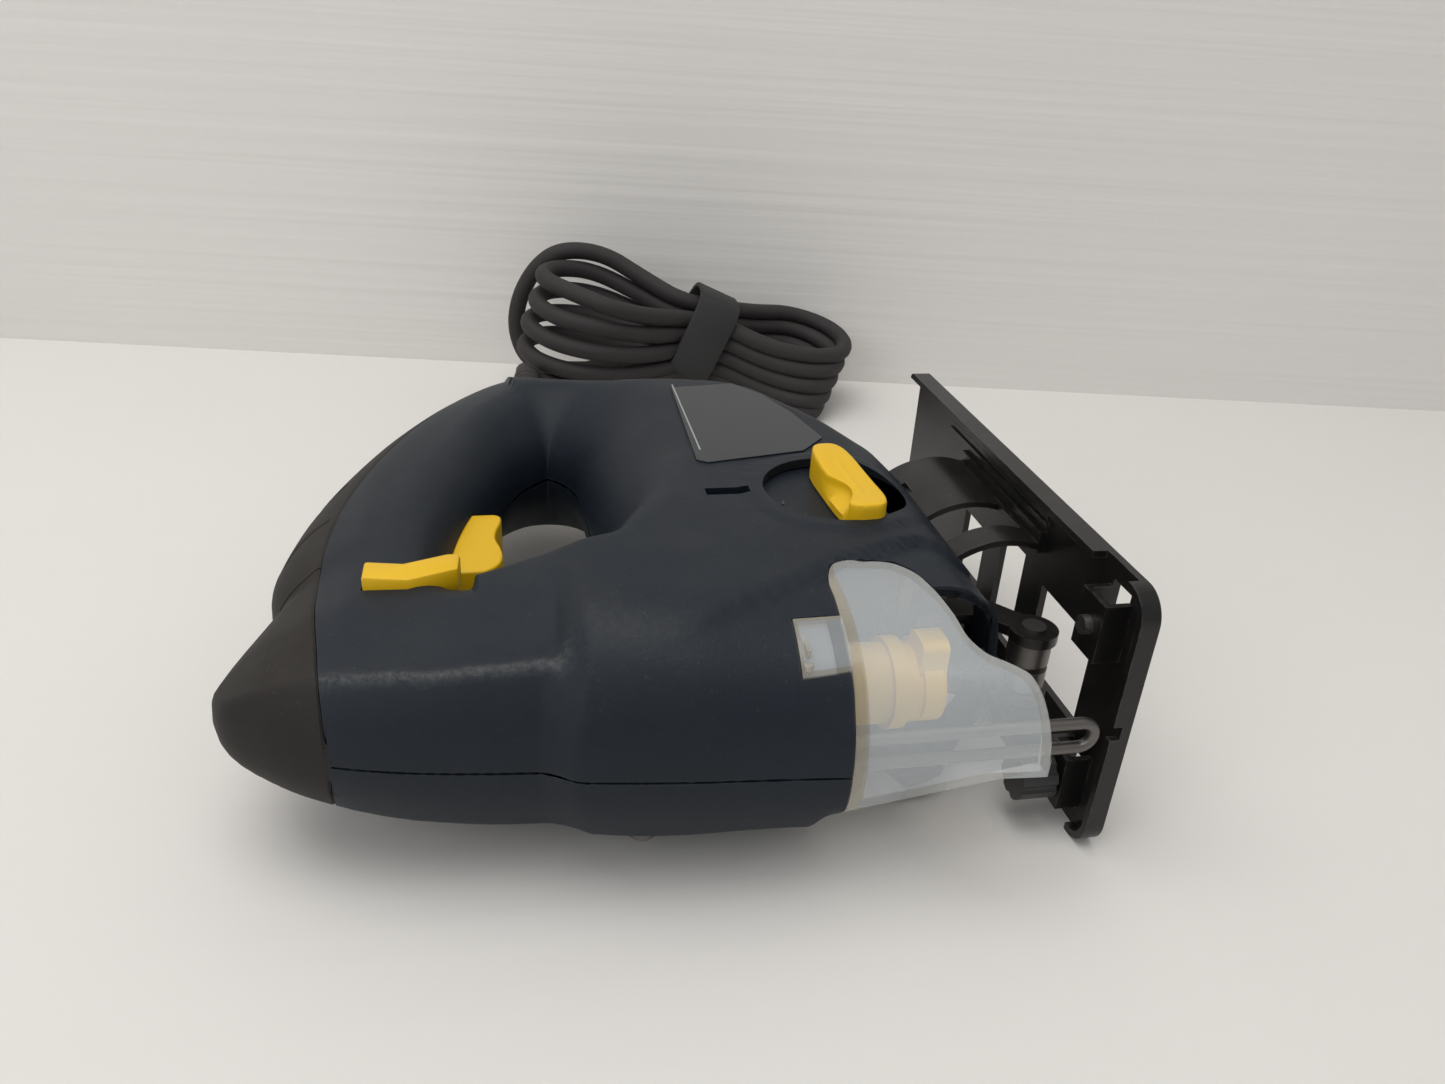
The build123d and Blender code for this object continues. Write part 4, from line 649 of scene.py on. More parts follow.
def make_shell(side, sizes):
    """One shell: the walled grid, with the chamber's and the saddle's walls added and all openings cut."""
    points, faces, crest = shell_grid(side, sizes)
    name = "shell_left" if side > 0 else "shell_right"
    shell = make_piece(name, [(points, [faces], 0)], {"crest": crest})
    liner = make_piece("liner", [prism(moved_out(CHAMBER, WALL), 0.1 * side, OUTSIDE * side)])
    carve(liner, [rod(1, BRACKET_H, 0, 29, 44, 150, 64)], "UNION")
    carve(liner, [solid_form(side, sizes, 0.8)], "INTERSECT")
    hollow = make_piece("hollow", [solid_form(side, sizes, WALL)])
    carve(hollow, [prism(CHAMBER, -OUTSIDE, OUTSIDE)], "INTERSECT")
    carve(liner, [shape_of(hollow)] + shell_cutters(side, sizes))
    carve(shell, shell_cutters(side, sizes) + [tab_pocket(side, sizes)])
    join(shell, liner)
    smooth(shell, 38)
    return shell


def shape_of(obj):
    """An object's mesh as (points, faces by corner count, material 0), and the object is removed."""
    points = np.array([v.co for v in obj.data.vertices])
    by_count = {}
    for face in obj.data.polygons:
        by_count.setdefault(len(face.vertices), []).append(list(face.vertices))
    blocks = [np.array(rows) for rows in by_count.values()]
    bpy.data.meshes.remove(obj.data)
    return points, blocks, 0


def tab_pocket(side, sizes):
    """The room under the guard's tab: a slab from 2.3 mm below the surface outwards."""
    rows, columns = np.linspace(TAB_H[0], TAB_H[1] + GAP, 12), np.linspace(TAB_D[0] - GAP, TAB_D[1] + GAP, 12)
    h, d = np.meshgrid(rows, columns, indexing="ij")
    w, _ = half_width(h, d, GUARD_WALL + GAP, sizes, side < 0)
    return slab(place(h, d, side * np.maximum(w, 8)), place(h, d, side * OUTSIDE))


def slab(low, high):
    """A closed slab between two grids of the same size: both faces and the four rims."""
    rows, columns = low.shape[:2]
    faces = grid_faces(rows, columns, False, False)
    n = rows * columns
    index = np.arange(n).reshape(rows, columns)
    rim = np.concatenate([index[0, :-1], index[:-1, -1], index[-1, :0:-1], index[:0:-1, 0]])
    after = np.roll(rim, -1)
    sides = np.stack([rim, rim + n, after + n, after], 1)
    points = np.concatenate([low.reshape(-1, 3), high.reshape(-1, 3)])
    return points, [faces, faces[:, ::-1] + n, sides], 0


def join(obj, other):
    """Adds another object's mesh to an object, and removes the other."""
    with bpy.context.temp_override(active_object=obj, selected_editable_objects=[obj, other]):
        bpy.ops.object.join()


def rubber_band(low_angle, high_angle, count, sizes, grooves):
    """A length of the soft skin: across it the loop runs from the left edge over the outline to the right
    edge and back inside, and along it the rays step round the handle. Grooves sink in as a bell curve."""
    angle = np.linspace(low_angle, high_angle, count)
    fine = np.linspace(low_angle - 0.1, high_angle + 0.1, count * 2)
    r_out = polar_radius(OUTER_LINE, angle)
    way = np.interp(angle, fine, slant(polar_radius(OUTER_LINE, fine), fine))
    edge = np.minimum(polar_radius(EDGE_LINE, angle) + 0.35, r_out - 0.9)
    across, back = np.linspace(-1, 1, 53), np.linspace(1, -1, 21)
    over, under = [np.sin(pi / 2 * np.abs(t)) ** 1.5 for t in (across, back)]
    outer_r = r_out[:, None] + (edge - r_out)[:, None] * over
    inner_end = r_out - RUBBER_BACK * way
    inner_r = inner_end[:, None] + (np.minimum(edge, inner_end - 0.3) - inner_end)[:, None] * under
    radius = np.concatenate([outer_r, inner_r], 1)
    h = CENTRE[0] + radius * np.cos(angle)[:, None]
    d = CENTRE[1] + radius * np.sin(angle)[:, None]
    n = len(across)
    sink = np.zeros_like(outer_r)
    for line, depth in grooves:
        gap, _ = nearest(h[:, :n], d[:, :n], curve_through(line, 0.6), closed=False)
        sink += sizes.groove * depth * np.exp(-(gap / 0.75) ** 2)
    edge_gap = np.abs(outer_r - edge[:, None])
    sink += 0.5 * np.exp(-(edge_gap / 0.6) ** 2)
    shift = (sink[:, n // 2] * way)[:, None] * np.exp(-((outer_r - r_out[:, None]) / 4) ** 2)
    h[:, :n] -= shift * np.cos(angle)[:, None]
    d[:, :n] -= shift * np.sin(angle)[:, None]
    inset = np.concatenate([np.maximum(sink, 0), np.full(inner_r.shape, RUBBER_BACK)], 1)
    w, _ = half_width(h, d, inset, sizes)
    points = place(h, d, w * np.sign(np.concatenate([across, back])))
    columns = h.shape[1]
    near, far = cap_quads(n, columns, 0), cap_quads(n, columns, (count - 1) * columns)[:, ::-1]
    return points, [grid_faces(*h.shape, False, True), near, far], 0


def cap_quads(outer, columns, start):
    """Closes the end of a loop whose first part faces its second part: quads between matched places."""
    inner = columns - outer
    a = np.arange(outer - 1)
    match = columns - 1 - np.round(np.arange(outer) * (inner - 1) / (outer - 1)).astype(int)
    quads = np.stack([a, match[a], match[a + 1], a + 1], 1)
    return quads[:, ::-1] + start


class JIGSAW_OT_shells(Operator):
    """Builds both shells"""

    bl_idname = "jigsaw.shells"
    bl_label = "Shells"

    def execute(self, context):
        sizes = context.scene.jigsaw_sizes
        for side, node in ((1, "housing_left"), (-1, "housing_right")):
            shell = make_shell(side, sizes)
            finish_piece(shell, "housing", ["navy_plastic"], [node])
        return {"FINISHED"}


class JIGSAW_OT_soft_grip(Operator):
    """Builds the soft grip on the handle and the nose bumper"""

    bl_idname = "jigsaw.soft_grip"
    bl_label = "Soft grip and nose"

    def execute(self, context):
        sizes = context.scene.jigsaw_sizes
        grip = make_piece("soft_grip", [rubber_band(SEAM_ANGLE + 0.003, TAIL_ANGLE, 420, sizes, GROOVES)])
        nose = make_piece("soft_nose", [rubber_band(NOSE_ANGLE, SEAM_ANGLE - 0.003, 150, sizes, [])])
        finish_piece(grip, "housing", ["rubber"], ["handle_grip"])
        finish_piece(nose, "housing", ["rubber"], ["nose_bumper"])
        return {"FINISHED"}


# ---------------------------------------------------------------- clear guard

def guard_body(sizes):
    """The clear cover: one row for each place on its rear edge, and across each row the form's own surface
    from the left edge round the front to the right edge, outside and then a wall further in. Its top rim and
    its edge are the second material."""
    edge = curve_through(GUARD_EDGE, 0.55)
    rows_h, edge_d = edge[:, 0], edge[:, 1]
    line_h, line_d = OUTER_LINE[:, 0], OUTER_LINE[:, 1]
    front_line = OUTER_LINE[(line_d < 8) & (line_h > 27.4) & (line_h < 110)]
    order = np.argsort(front_line[:, 0])
    front = np.interp(rows_h, front_line[order, 0], front_line[order, 1])
    across = np.linspace(-1, 1, 81)
    share = np.abs(across) ** 2.1
    inner_edge = np.maximum(edge_d, front + GUARD_WALL + 0.2)
    outer_d = front[:, None] + (edge_d - front)[:, None] * share
    inner_d = (front + GUARD_WALL)[:, None] + (inner_edge - front - GUARD_WALL)[:, None] * share
    h = np.repeat(rows_h[:, None], len(across), 1)
    side = np.sign(across)
    w_out, _ = half_width(h, outer_d, 0.0, sizes, side < 0)
    w_in, _ = half_width(h, inner_d, GUARD_WALL, sizes, side < 0)
    points, blocks, _ = slab(place(h, outer_d, w_out * side), place(h, inner_d, w_in * side))
    rim = h[:-1, :-1].ravel() > GUARD_RIM_H
    return points, blocks, np.concatenate([rim, rim, np.ones(len(blocks[2]), bool)])


def guard_tab(side, sizes):
    """The guard's tab that lies in its pocket, as a slab with a rim of the second material."""
    h, d = np.meshgrid(np.linspace(*TAB_H, 15), np.linspace(*TAB_D, 15), indexing="ij")
    outer, _ = half_width(h, d, 0.0, sizes, side < 0)
    inner, _ = half_width(h, d, GUARD_WALL, sizes, side < 0)
    points, blocks, _ = slab(place(h, d, side * outer), place(h, d, side * inner))
    rim = np.ones((14, 14), bool)
    rim[:-1, 1:-1] = False
    return points, blocks, np.concatenate([rim.ravel(), rim.ravel(), np.ones(len(blocks[2]), bool)])


def tab_rib(sizes):
    """The left tab's raised rib and the round stud at its end."""
    (rib, stud), _ = half_width(np.array([82.4, 82.6]), np.array([7.0, 3.4]), 0.0, sizes)
    return [box(82.0, 82.9, 4.6, 11.6, rib - 1.0, rib + 1.1),
            disc(82.7, 3.6, 1.1, stud - 1.0, stud + 1.0, 20)]


class JIGSAW_OT_guard(Operator):
    """Builds the clear guard with its tabs"""

    bl_idname = "jigsaw.guard"
    bl_label = "Clear guard"

    def execute(self, context):
        sizes = context.scene.jigsaw_sizes
        parts = [guard_body(sizes)] + [guard_tab(side, sizes) for side in (1, -1)]
        rims = np.concatenate([rim for _, _, rim in parts])
        guard = make_piece("clear_guard", [with_material(part, 0) for part in parts])
        finish_piece(guard, "guard", ["clear_plastic", "clear_edge"], ["blade_guard"])
        guard.data.polygons.foreach_set("material_index", rims.astype(np.int32))
        guard.data.update()
        ribs = make_piece("guard_ribs", tab_rib(sizes))
        bevelled(ribs, 0.3, 2)
        finish_piece(ribs, "guard", ["clear_edge"])
        return {"FINISHED"}


# ---------------------------------------------------------------- controls

class JIGSAW_OT_controls(Operator):
    """Builds the orbital knob, the trigger, the lock bar, the label, the dial and the screw heads"""

    bl_idname = "jigsaw.controls"
    bl_label = "Controls and label"

    def execute(self, context):
        sizes = context.scene.jigsaw_sizes
        knob = make_piece("orbital_knob_handle", [knob_surface()])
        finish_piece(knob, "knob", ["yellow"], ["orbital_knob"])
        profile = curve_profile(TRIGGER_PROFILE)
        trigger = make_piece("finger_trigger", [prism(profile, -TRIGGER_W, TRIGGER_W)])
        bevelled(trigger, 0.8)
        finish_piece(trigger, "trigger", ["yellow"], ["trigger"])
        lock = make_piece("lock_bar", [prism(LOCK_OUTLINE, *LOCK_SIDE)])
        bevelled(lock, 0.9, 2)
        finish_piece(lock, "lock", ["yellow"], ["lock_button"])
        line = with_material(prism(LABEL_LINE, LABEL_FACE - 0.05, LABEL_FACE + 0.05), 1)
        label = make_piece("label_bare", [prism(LABEL, LABEL_SEAT, LABEL_FACE), line])
        finish_piece(label, "housing", ["label_gloss", "label_line"], ["label_plate"])
        dish = disc(*DIAL, DIAL_R + 0.6, DIAL_FLOOR - 2.0, DIAL_FLOOR, 128)
        marks = make_piece("dial_dish", [dish] + [with_material(shape, 1) for shape in dial_marks()])
        finish_piece(marks, "housing", ["navy_plastic", "mark_gloss"])
        heads = make_piece("screw_heads", screw_heads(sizes))
        carve(heads, screw_slots(sizes))
        finish_piece(heads, "housing", ["dark_steel"], ["housing_screws"])
        return {"FINISHED"}


def with_material(shape, index):
    """A shape with another material index."""
    return shape[0], shape[1], index


def curve_profile(points):
    """A polygon's first two corners as they are, and the rest drawn as one curve."""
    p = np.array(points, float)
    return np.concatenate([p[:2], curve_through(p[2:], 1.2)])


def dial_marks():
    """Raised ticks at three places round the dial, one, two and three in a row."""
    shapes = []
    for k, angle in enumerate((0.15, 0.75, 1.35)):
        along = np.array([sin(pi - angle), cos(pi - angle)])
        across = np.array([along[1], -along[0]])
        for j in range(k + 1):
            middle = np.array(DIAL) - (15.2 + 1.4 * j) * np.array([cos(pi - angle), sin(pi - angle)])
            corners = [middle + along * l + across * c for l, c in TICK]
            shapes.append(prism(corners, DIAL_FLOOR - 0.1, DIAL_FLOOR + 0.25))
    return shapes


def knob_surface():
    """The bar handle: rings of one superelliptic plan climb its walls and close over the top, which rises to
    the rear. A cylinder-shaped scoop thins the upper wall at the front, and the plan is turned a little."""
    a = np.linspace(0, 2 * pi, 160, endpoint=False)
    ca, sa = np.cos(a), np.sin(a)
    along = KNOB_HALF[0] * np.sign(ca) * np.abs(ca) ** np.where(ca > 0, 0.45, 0.5)
    across = KNOB_HALF[1] * np.sign(sa) * np.abs(sa) ** np.where(ca > 0, 0.6, 0.55)
    across = across * (1 - 0.13 * (along / KNOB_HALF[0] + 0.4))
    levels = [(1.0, 0.0), (1.0, 0.3), (1.0, 0.55), (0.995, 0.75), (0.99, 0.88), (0.965, 0.96), (0.92, 0.99),
              (0.85, 1.0), (0.7, 1.0), (0.5, 1.0), (0.3, 1.0), (0.12, 1.0)]
    turn = radians(KNOB_TURN)
    rings = []
    for shrink, rise in levels:
        l = along * (1 - (1 - shrink) * 0.4)
        c = across * shrink
        top = KNOB_SIDE[1] + 1.9 * smooth_step((l + 10) / 26)
        w = KNOB_SIDE[0] + (top - KNOB_SIDE[0]) * rise
        lift = smooth_step((w - 34.2) / 2.4)
        reach = np.hypot(l + 8.0, c - 13.0)
        c = c - np.maximum(11.0 - reach, 0) * lift * (c > -2)
        h = KNOB_AT[0] + c * cos(turn) + l * sin(turn)
        d = KNOB_AT[1] + l * cos(turn) - c * sin(turn)
        rings.append(np.stack([h, d, w], 1))
    rings.append(np.repeat(rings[-1].mean(0)[None], len(a), 0))
    points = place(*np.moveaxis(np.stack(rings), -1, 0))
    floor = np.arange(len(a))[None, :]
    return points, [grid_faces(len(rings), len(a), False, True), floor], 0


# ---------------------------------------------------------------- cord

def coil_points(sizes):
    """Points of the cord's spline: the route, the turns, each one spacing higher than the last, and the tail
    to the plug. A turn is a lobe at the left, a neck in the strap and a fold at the right. The turns differ
    in reach, and at the right they spread by 4 mm each."""
    steps = len(TURN)
    n = np.arange(1, sizes.turns * steps - 2)
    h, share, across = np.array(TURN, float)[n % steps].T
    lobe, reach, end = [np.array(rows)[n // steps] for rows in (TURN_LOBE, TURN_REACH, TURN_END)]
    s = share * (sizes.lobe * lobe) + across
    h = h + reach * smooth_step((h - 84) / 46) + end * smooth_step((12 - h) / 30)
    level = np.maximum(n / steps - 0.5, 0)
    tilt = radians(sizes.tilt)
    d = COIL_D + s * cos(tilt) + 4.0 * (level - 2) * smooth_step((20 - h) / 30)
    lowest, spacing = [np.interp(h, *np.array(rows, float).T) for rows in (LOWEST_STRAND, TURN_SPACING)]
    z = np.maximum(lowest + level * spacing + s * sin(tilt), CORD_R + 0.4)
    line = np.concatenate([np.array(CORD_ROUTE, float), np.stack([h, d, z], 1), np.array(CORD_TAIL, float)])
    return place(line[:, 0], line[:, 1], line[:, 2] - MIDDLE / MM)


class JIGSAW_OT_cord(Operator):
    """Builds the cord, its strain relief and the strap"""

    bl_idname = "jigsaw.cord"
    bl_label = "Cord"

    def execute(self, context):
        sizes = context.scene.jigsaw_sizes
        points = coil_points(sizes)
        curve = bpy.data.curves.new("mains_cord", "CURVE")
        curve.dimensions = "3D"
        curve.bevel_depth = CORD_R * MM
        curve.bevel_resolution = 5
        curve.resolution_u = 10
        curve.use_fill_caps = True
        spline = curve.splines.new("NURBS")
        spline.points.add(len(points) - 1)
        spline.points.foreach_set("co", np.c_[points, np.ones(len(points))].ravel())
        spline.order_u = 3
        spline.use_endpoint_u = True
        cord = bpy.data.objects.new("mains_cord", curve)
        context.scene.collection.objects.link(cord)
        cord.data.materials.append(bpy.data.materials["cord_rubber"])
        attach(cord, "housing")
        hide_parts("cord_tube", "cord_coil")
        line = centre_line(cord)
        strap = make_piece("cord_wrap", strap_parts(sizes))
        finish_piece(strap, "housing", ["strap_fabric"], ["cord_strap"])
        relief = make_piece("strain_relief", [relief_surface()])
        finish_piece(relief, "housing", ["cord_rubber"], ["cord_strain_relief"])
        return {"FINISHED"}


def centre_line(cord):
    """Points along a curve object's own line, read from it without its thickness."""
    plain = cord.data.copy()
    plain.bevel_depth = 0
    probe = bpy.data.objects.new("probe", plain)
    mesh = bpy.data.meshes.new_from_object(probe)
    line = np.array([v.co for v in mesh.vertices])
    bpy.data.meshes.remove(mesh)
    bpy.data.curves.remove(plain)
    return line


def strap_parts(sizes):
    """The strap: a leaning superelliptic band round the bundle's neck, with its free end lapped over. The
    section's corners are an edge, as a share of half the width, and how far out they lie."""
    lean = radians(STRAP_LEAN)
    section = ((-1, 0.0), (-1, STRAP_THICK), (-0.96, 2.0), (0.96, 2.0), (1, STRAP_THICK), (1, 0.0))
    parts = []
    for grow, low, high in ((0.0, 0.0, 2 * pi), (STRAP_THICK, 2.2, 4.6)):
        closed = high - low > 6
        t = np.linspace(low, high, 120 if closed else 60, endpoint=not closed)
        loops = []
        for edge, extra in section:
            m = (STRAP_HALF[0] + grow + extra) * np.sign(np.cos(t)) * np.abs(np.cos(t)) ** 0.62
            n = (STRAP_HALF[1] + grow + extra) * np.sign(np.sin(t)) * np.abs(np.sin(t)) ** 0.62
            along = edge * sizes.strap_width / 2
            h = STRAP_AT[0] + along * cos(lean) - n * sin(lean)
            z = STRAP_AT[2] + along * sin(lean) + n * cos(lean)
            loops.append(place(h, STRAP_AT[1] + m, z - MIDDLE / MM))
        grid = np.stack(loops, 1)
        rows, columns = grid.shape[:2]
        faces = [grid_faces(rows, columns, closed, True)]
        if not closed:
            end = np.arange(columns)[None]
            faces += [end[:, ::-1], end + (rows - 1) * columns]
        parts.append((grid, faces, 0))
    return parts


def relief_surface():
    """The strain relief: a tapered sleeve turned about the cord's axis, with a step at the shells and sunk
    rings in its outer part, as the upper halves of a sine wave."""
    d = np.concatenate([[200.05, 200.05, 211.95, 211.95], np.linspace(212, 262, 201), [262, 262]])
    base = np.interp(d, [200, 212, 228, 262], [8, 6, 5.95, 5.1])
    ring = 0.55 * np.clip(np.sin((d - 231) / 26 * 5.5 * 2 * pi) * 2.2, 0, 1) * (d > 233) * (d < 258)
    r = base - ring
    r[:4] = [0.0, 7.95, 7.95, 5.9]
    r[-2:] = [CORD_R, 0.0]
    a = np.linspace(0, 2 * pi, 48, endpoint=False)
    points = place(CORD_H + r[:, None] * np.cos(a), d[:, None], r[:, None] * np.sin(a))
    return points, [grid_faces(len(d), len(a), False, True)], 0


# ---------------------------------------------------------------- finishes

def new_group(name, inputs, outputs):
    """A shader node group with named number sockets, as (tree, input node, output node)."""
    tree = bpy.data.node_groups.new(name, "ShaderNodeTree")
    for label, value in inputs:
        socket = tree.interface.new_socket(label, in_out="INPUT", socket_type="NodeSocketFloat")
        socket.default_value = value
    for label in outputs:
        tree.interface.new_socket(label, in_out="OUTPUT", socket_type="NodeSocketFloat")
    return tree, tree.nodes.new("NodeGroupInput"), tree.nodes.new("NodeGroupOutput")


def give(tree, value, socket):
    """Links an output to a socket, or sets the socket's own value."""
    if hasattr(value, "is_output"):
        tree.links.new(value, socket)
    else:
        socket.default_value = value


def math_node(tree, operation, a, b, clamp):
    """The output of one sum on two numbers, each an output or a plain value."""
    node = tree.nodes.new("ShaderNodeMath")
    node.operation = operation
    node.use_clamp = clamp
    give(tree, a, node.inputs[0])
    give(tree, b, node.inputs[1])
    return node.outputs[0]


def times(tree, a, b, clamp=False):
    """a times b."""
    return math_node(tree, "MULTIPLY", a, b, clamp)


def plus(tree, a, b, clamp=False):
    """a plus b."""
    return math_node(tree, "ADD", a, b, clamp)


def less(tree, a, b):
    """a less b."""
    return math_node(tree, "SUBTRACT", a, b, False)


def stretched(tree, value, low, gain):
    """(value - low) times gain, held between 0 and 1."""
    return times(tree, less(tree, value, low), gain, True)


def noise_node(tree, vector, scale, detail, rough):
    """Noise of one scale, with detail octaves that fade as rough says."""
    node = tree.nodes.new("ShaderNodeTexNoise")
    tree.links.new(vector, node.inputs["Vector"])
    for label, value in (("Scale", scale), ("Detail", detail), ("Roughness", rough)):
        give(tree, value, node.inputs[label])
    return node.outputs["Fac"]


def bump_node(tree, height, distance, shader):
    """Raises a surface by a height map, in metres at its full height."""
    node = tree.nodes.new("ShaderNodeBump")
    node.inputs["Distance"].default_value = distance
    node.inputs["Strength"].default_value = 1.0
    tree.links.new(height, node.inputs["Height"])
    tree.links.new(node.outputs[0], shader.inputs["Normal"])


def object_vector(tree):
    """Object coordinates."""
    return tree.nodes.new("ShaderNodeTexCoord").outputs["Object"]


def new_material(name):
    """An empty node material, as (material, tree, shader)."""
    material = bpy.data.materials.new(name)
    material.use_nodes = True
    return material, material.node_tree, material.node_tree.nodes["Principled BSDF"]


def grain_group():
    """Moulded grain: fine and coarse noise as a height, and wide noise as a cloud."""
    tree, source, sink = new_group("Moulded grain", [("Scale", 900.0), ("Depth", 0.5)], ["Height", "Cloud"])
    vector = object_vector(tree)
    fine = noise_node(tree, vector, source.outputs["Scale"], 3.0, 0.6)
    wide = times(tree, source.outputs["Scale"], 0.22)
    coarse = noise_node(tree, vector, wide, 2.0, 0.5)
    mixed = plus(tree, times(tree, fine, 0.7), times(tree, coarse, 0.3))
    tree.links.new(times(tree, mixed, source.outputs["Depth"]), sink.inputs["Height"])
    tree.links.new(noise_node(tree, vector, 24.0, 3.0, 0.55), sink.inputs["Cloud"])


def edge_wear_group():
    """Edge wear: how far a rounded normal turns from the true one, broken up in patches."""
    inputs = [("Width", 0.001), ("Amount", 1.0), ("Patch", 90.0)]
    tree, source, sink = new_group("Edge wear", inputs, ["Mask"])
    bevel = tree.nodes.new("ShaderNodeBevel")
    bevel.samples = 4
    tree.links.new(source.outputs["Width"], bevel.inputs["Radius"])
    shape = tree.nodes.new("ShaderNodeNewGeometry")
    dot = tree.nodes.new("ShaderNodeVectorMath")
    dot.operation = "DOT_PRODUCT"
    tree.links.new(bevel.outputs[0], dot.inputs[0])
    tree.links.new(shape.outputs["Normal"], dot.inputs[1])
    turned = less(tree, 1.0, dot.outputs["Value"])
    turned = times(tree, turned, 9.0, True)
    patch = noise_node(tree, object_vector(tree), source.outputs["Patch"], 4.0, 0.65)
    mask = times(tree, turned, stretched(tree, patch, 0.42, 5.0))
    tree.links.new(times(tree, mask, source.outputs["Amount"], True), sink.inputs["Mask"])


def dust_group():
    """Dust: clouds and specks on faces that look up."""
    tree, source, sink = new_group("Dust", [("Amount", 0.3), ("Scale", 40.0)], ["Mask"])
    shape = tree.nodes.new("ShaderNodeNewGeometry")
    split = tree.nodes.new("ShaderNodeSeparateXYZ")
    tree.links.new(shape.outputs["Normal"], split.inputs[0])
    up = times(tree, split.outputs["Z"], 1.0, True)
    cloud = noise_node(tree, object_vector(tree), source.outputs["Scale"], 5.0, 0.7)
    cloud = times(tree, stretched(tree, cloud, 0.45, 3.0), 0.5)
    speck = stretched(tree, noise_node(tree, object_vector(tree), 700.0, 1.0, 0.5), 0.70, 14.0)
    both = plus(tree, times(tree, up, cloud), times(tree, speck, up))
    tree.links.new(times(tree, both, source.outputs["Amount"], True), sink.inputs["Mask"])


def fuzz_group():
    """Fuzz: short hairs as cells with noise on them."""
    tree, source, sink = new_group("Fuzz", [("Scale", 1400.0)], ["Height"])
    vector = object_vector(tree)
    cells = tree.nodes.new("ShaderNodeTexVoronoi")
    tree.links.new(vector, cells.inputs["Vector"])
    tree.links.new(source.outputs["Scale"], cells.inputs["Scale"])
    hair = noise_node(tree, vector, times(tree, source.outputs["Scale"], 1.7), 4.0, 0.7)
    tree.links.new(plus(tree, cells.outputs["Distance"], hair), sink.inputs["Height"])


def place_group(tree, name, **values):
    """A group in a material, with its own values."""
    node = tree.nodes.new("ShaderNodeGroup")
    node.node_tree = bpy.data.node_groups[name]
    for label, value in values.items():
        node.inputs[label].default_value = value
    return node


def mix_colour(tree, mask, a, b):
    """Colour a where the mask is 0 and b where it is 1; a colour is an output or three plain values."""
    node = tree.nodes.new("ShaderNodeMix")
    node.data_type = "RGBA"
    sockets = [socket for socket in node.inputs if socket.type == "RGBA"]
    give(tree, mask, node.inputs[0])
    for socket, value in zip(sockets, (a, b)):
        give(tree, (*value, 1.0) if isinstance(value, tuple) else value, socket)
    return [socket for socket in node.outputs if socket.type == "RGBA"][0]


def finish(name, colour, rough, metal=0.0, grain=900.0, depth=0.25, bump=0.00012, cloud=0.12, wear=None,
           dust=0.0, crest=None, **sockets):
    """One finish: a base colour clouded lighter and darker, a pale crest line of painted highlight and wear,
    edge wear, dust and fine grain, on one Principled BSDF whose even values stand on its own sockets. A crest
    is a colour and an amount, and wear is a colour, a width, an amount and the scale of its patches."""
    material, tree, shader = new_material(name)
    shader.inputs["Metallic"].default_value = metal
    for label, value in sockets.items():
        shader.inputs[label.replace("_", " ")].default_value = value
    surface = place_group(tree, "Moulded grain", Scale=grain, Depth=depth)
    dark = tuple(c * (1 - cloud) for c in colour)
    light = tuple(min(c * (1 + cloud) + cloud * 0.01, 1.0) for c in colour)
    base = mix_colour(tree, surface.outputs["Cloud"], dark, light)
    # A pale line along the front crest, partly painted highlight and partly wear, in noisy patches.
    if crest is not None:
        attribute = tree.nodes.new("ShaderNodeAttribute")
        attribute.attribute_name = "crest"
        wear_and_highlight = stretched(tree, noise_node(tree, object_vector(tree), 620.0, 4.0, 0.7), 0.30, 2.6)
        wear_and_highlight = times(tree, wear_and_highlight, crest[1])
        mask = times(tree, attribute.outputs["Fac"], wear_and_highlight, True)
        base = mix_colour(tree, mask, base, crest[0])
    if wear is not None:
        edge = place_group(tree, "Edge wear", Width=wear[1], Amount=wear[2], Patch=wear[3])
        base = mix_colour(tree, edge.outputs["Mask"], base, wear[0])
    if dust:
        film = place_group(tree, "Dust", Amount=dust)
        base = mix_colour(tree, film.outputs["Mask"], base, (0.30, 0.28, 0.25))
    tree.links.new(base, shader.inputs["Base Color"])
    spread = times(tree, surface.outputs["Cloud"], 0.16)
    tree.links.new(plus(tree, spread, rough - 0.08, True), shader.inputs["Roughness"])
    if bump:
        bump_node(tree, surface.outputs["Height"], bump, shader)
    return material


def plastic_finishes(colours):
    """Shells, soft grip, controls, cord, guide knob, label and dial marks."""
    # The navy's crest colour is a pale line of painted highlight and wear along the front crest.
    finish("navy_plastic", tuple(colours.navy), 0.50, grain=1500, depth=0.9, bump=0.00014, cloud=0.18,
           dust=0.05, crest=((0.095, 0.098, 0.098), 0.75), wear=((0.045, 0.055, 0.065), 0.0007, 0.4, 120.0),
           Specular_IOR_Level=0.24)
    finish("rubber", tuple(colours.rubber), 0.62, grain=1900, depth=0.8, bump=0.00010, cloud=0.16, dust=0.06,
           wear=((0.07, 0.062, 0.057), 0.0008, 0.35, 140.0), Specular_IOR_Level=0.28)
    finish("yellow", tuple(colours.yellow), 0.40, grain=1300, depth=0.5, bump=0.00005, cloud=0.05,
           wear=((0.60, 0.35, 0.02), 0.0006, 0.4, 260.0), Specular_IOR_Level=0.4)
    finish("cord_rubber", tuple(colours.black), 0.40, grain=1700, depth=0.5, bump=0.00008, cloud=0.3,
           dust=0.03, Specular_IOR_Level=0.4)
    finish("black_plastic", (0.014, 0.013, 0.013), 0.45, grain=1200, depth=0.6, bump=0.0001, cloud=0.2,
           dust=0.2, wear=((0.07, 0.06, 0.055), 0.0005, 0.6, 200.0))
    finish("label_gloss", (0.0085, 0.0085, 0.0098), 0.28, grain=500, depth=0.2, bump=0.00001, cloud=0.2,
           dust=0.03, Specular_IOR_Level=0.3)
    finish("label_line", (0.30, 0.31, 0.32), 0.35, bump=0, cloud=0.1)
    finish("mark_gloss", (0.016, 0.018, 0.018), 0.18, bump=0, cloud=0.1)


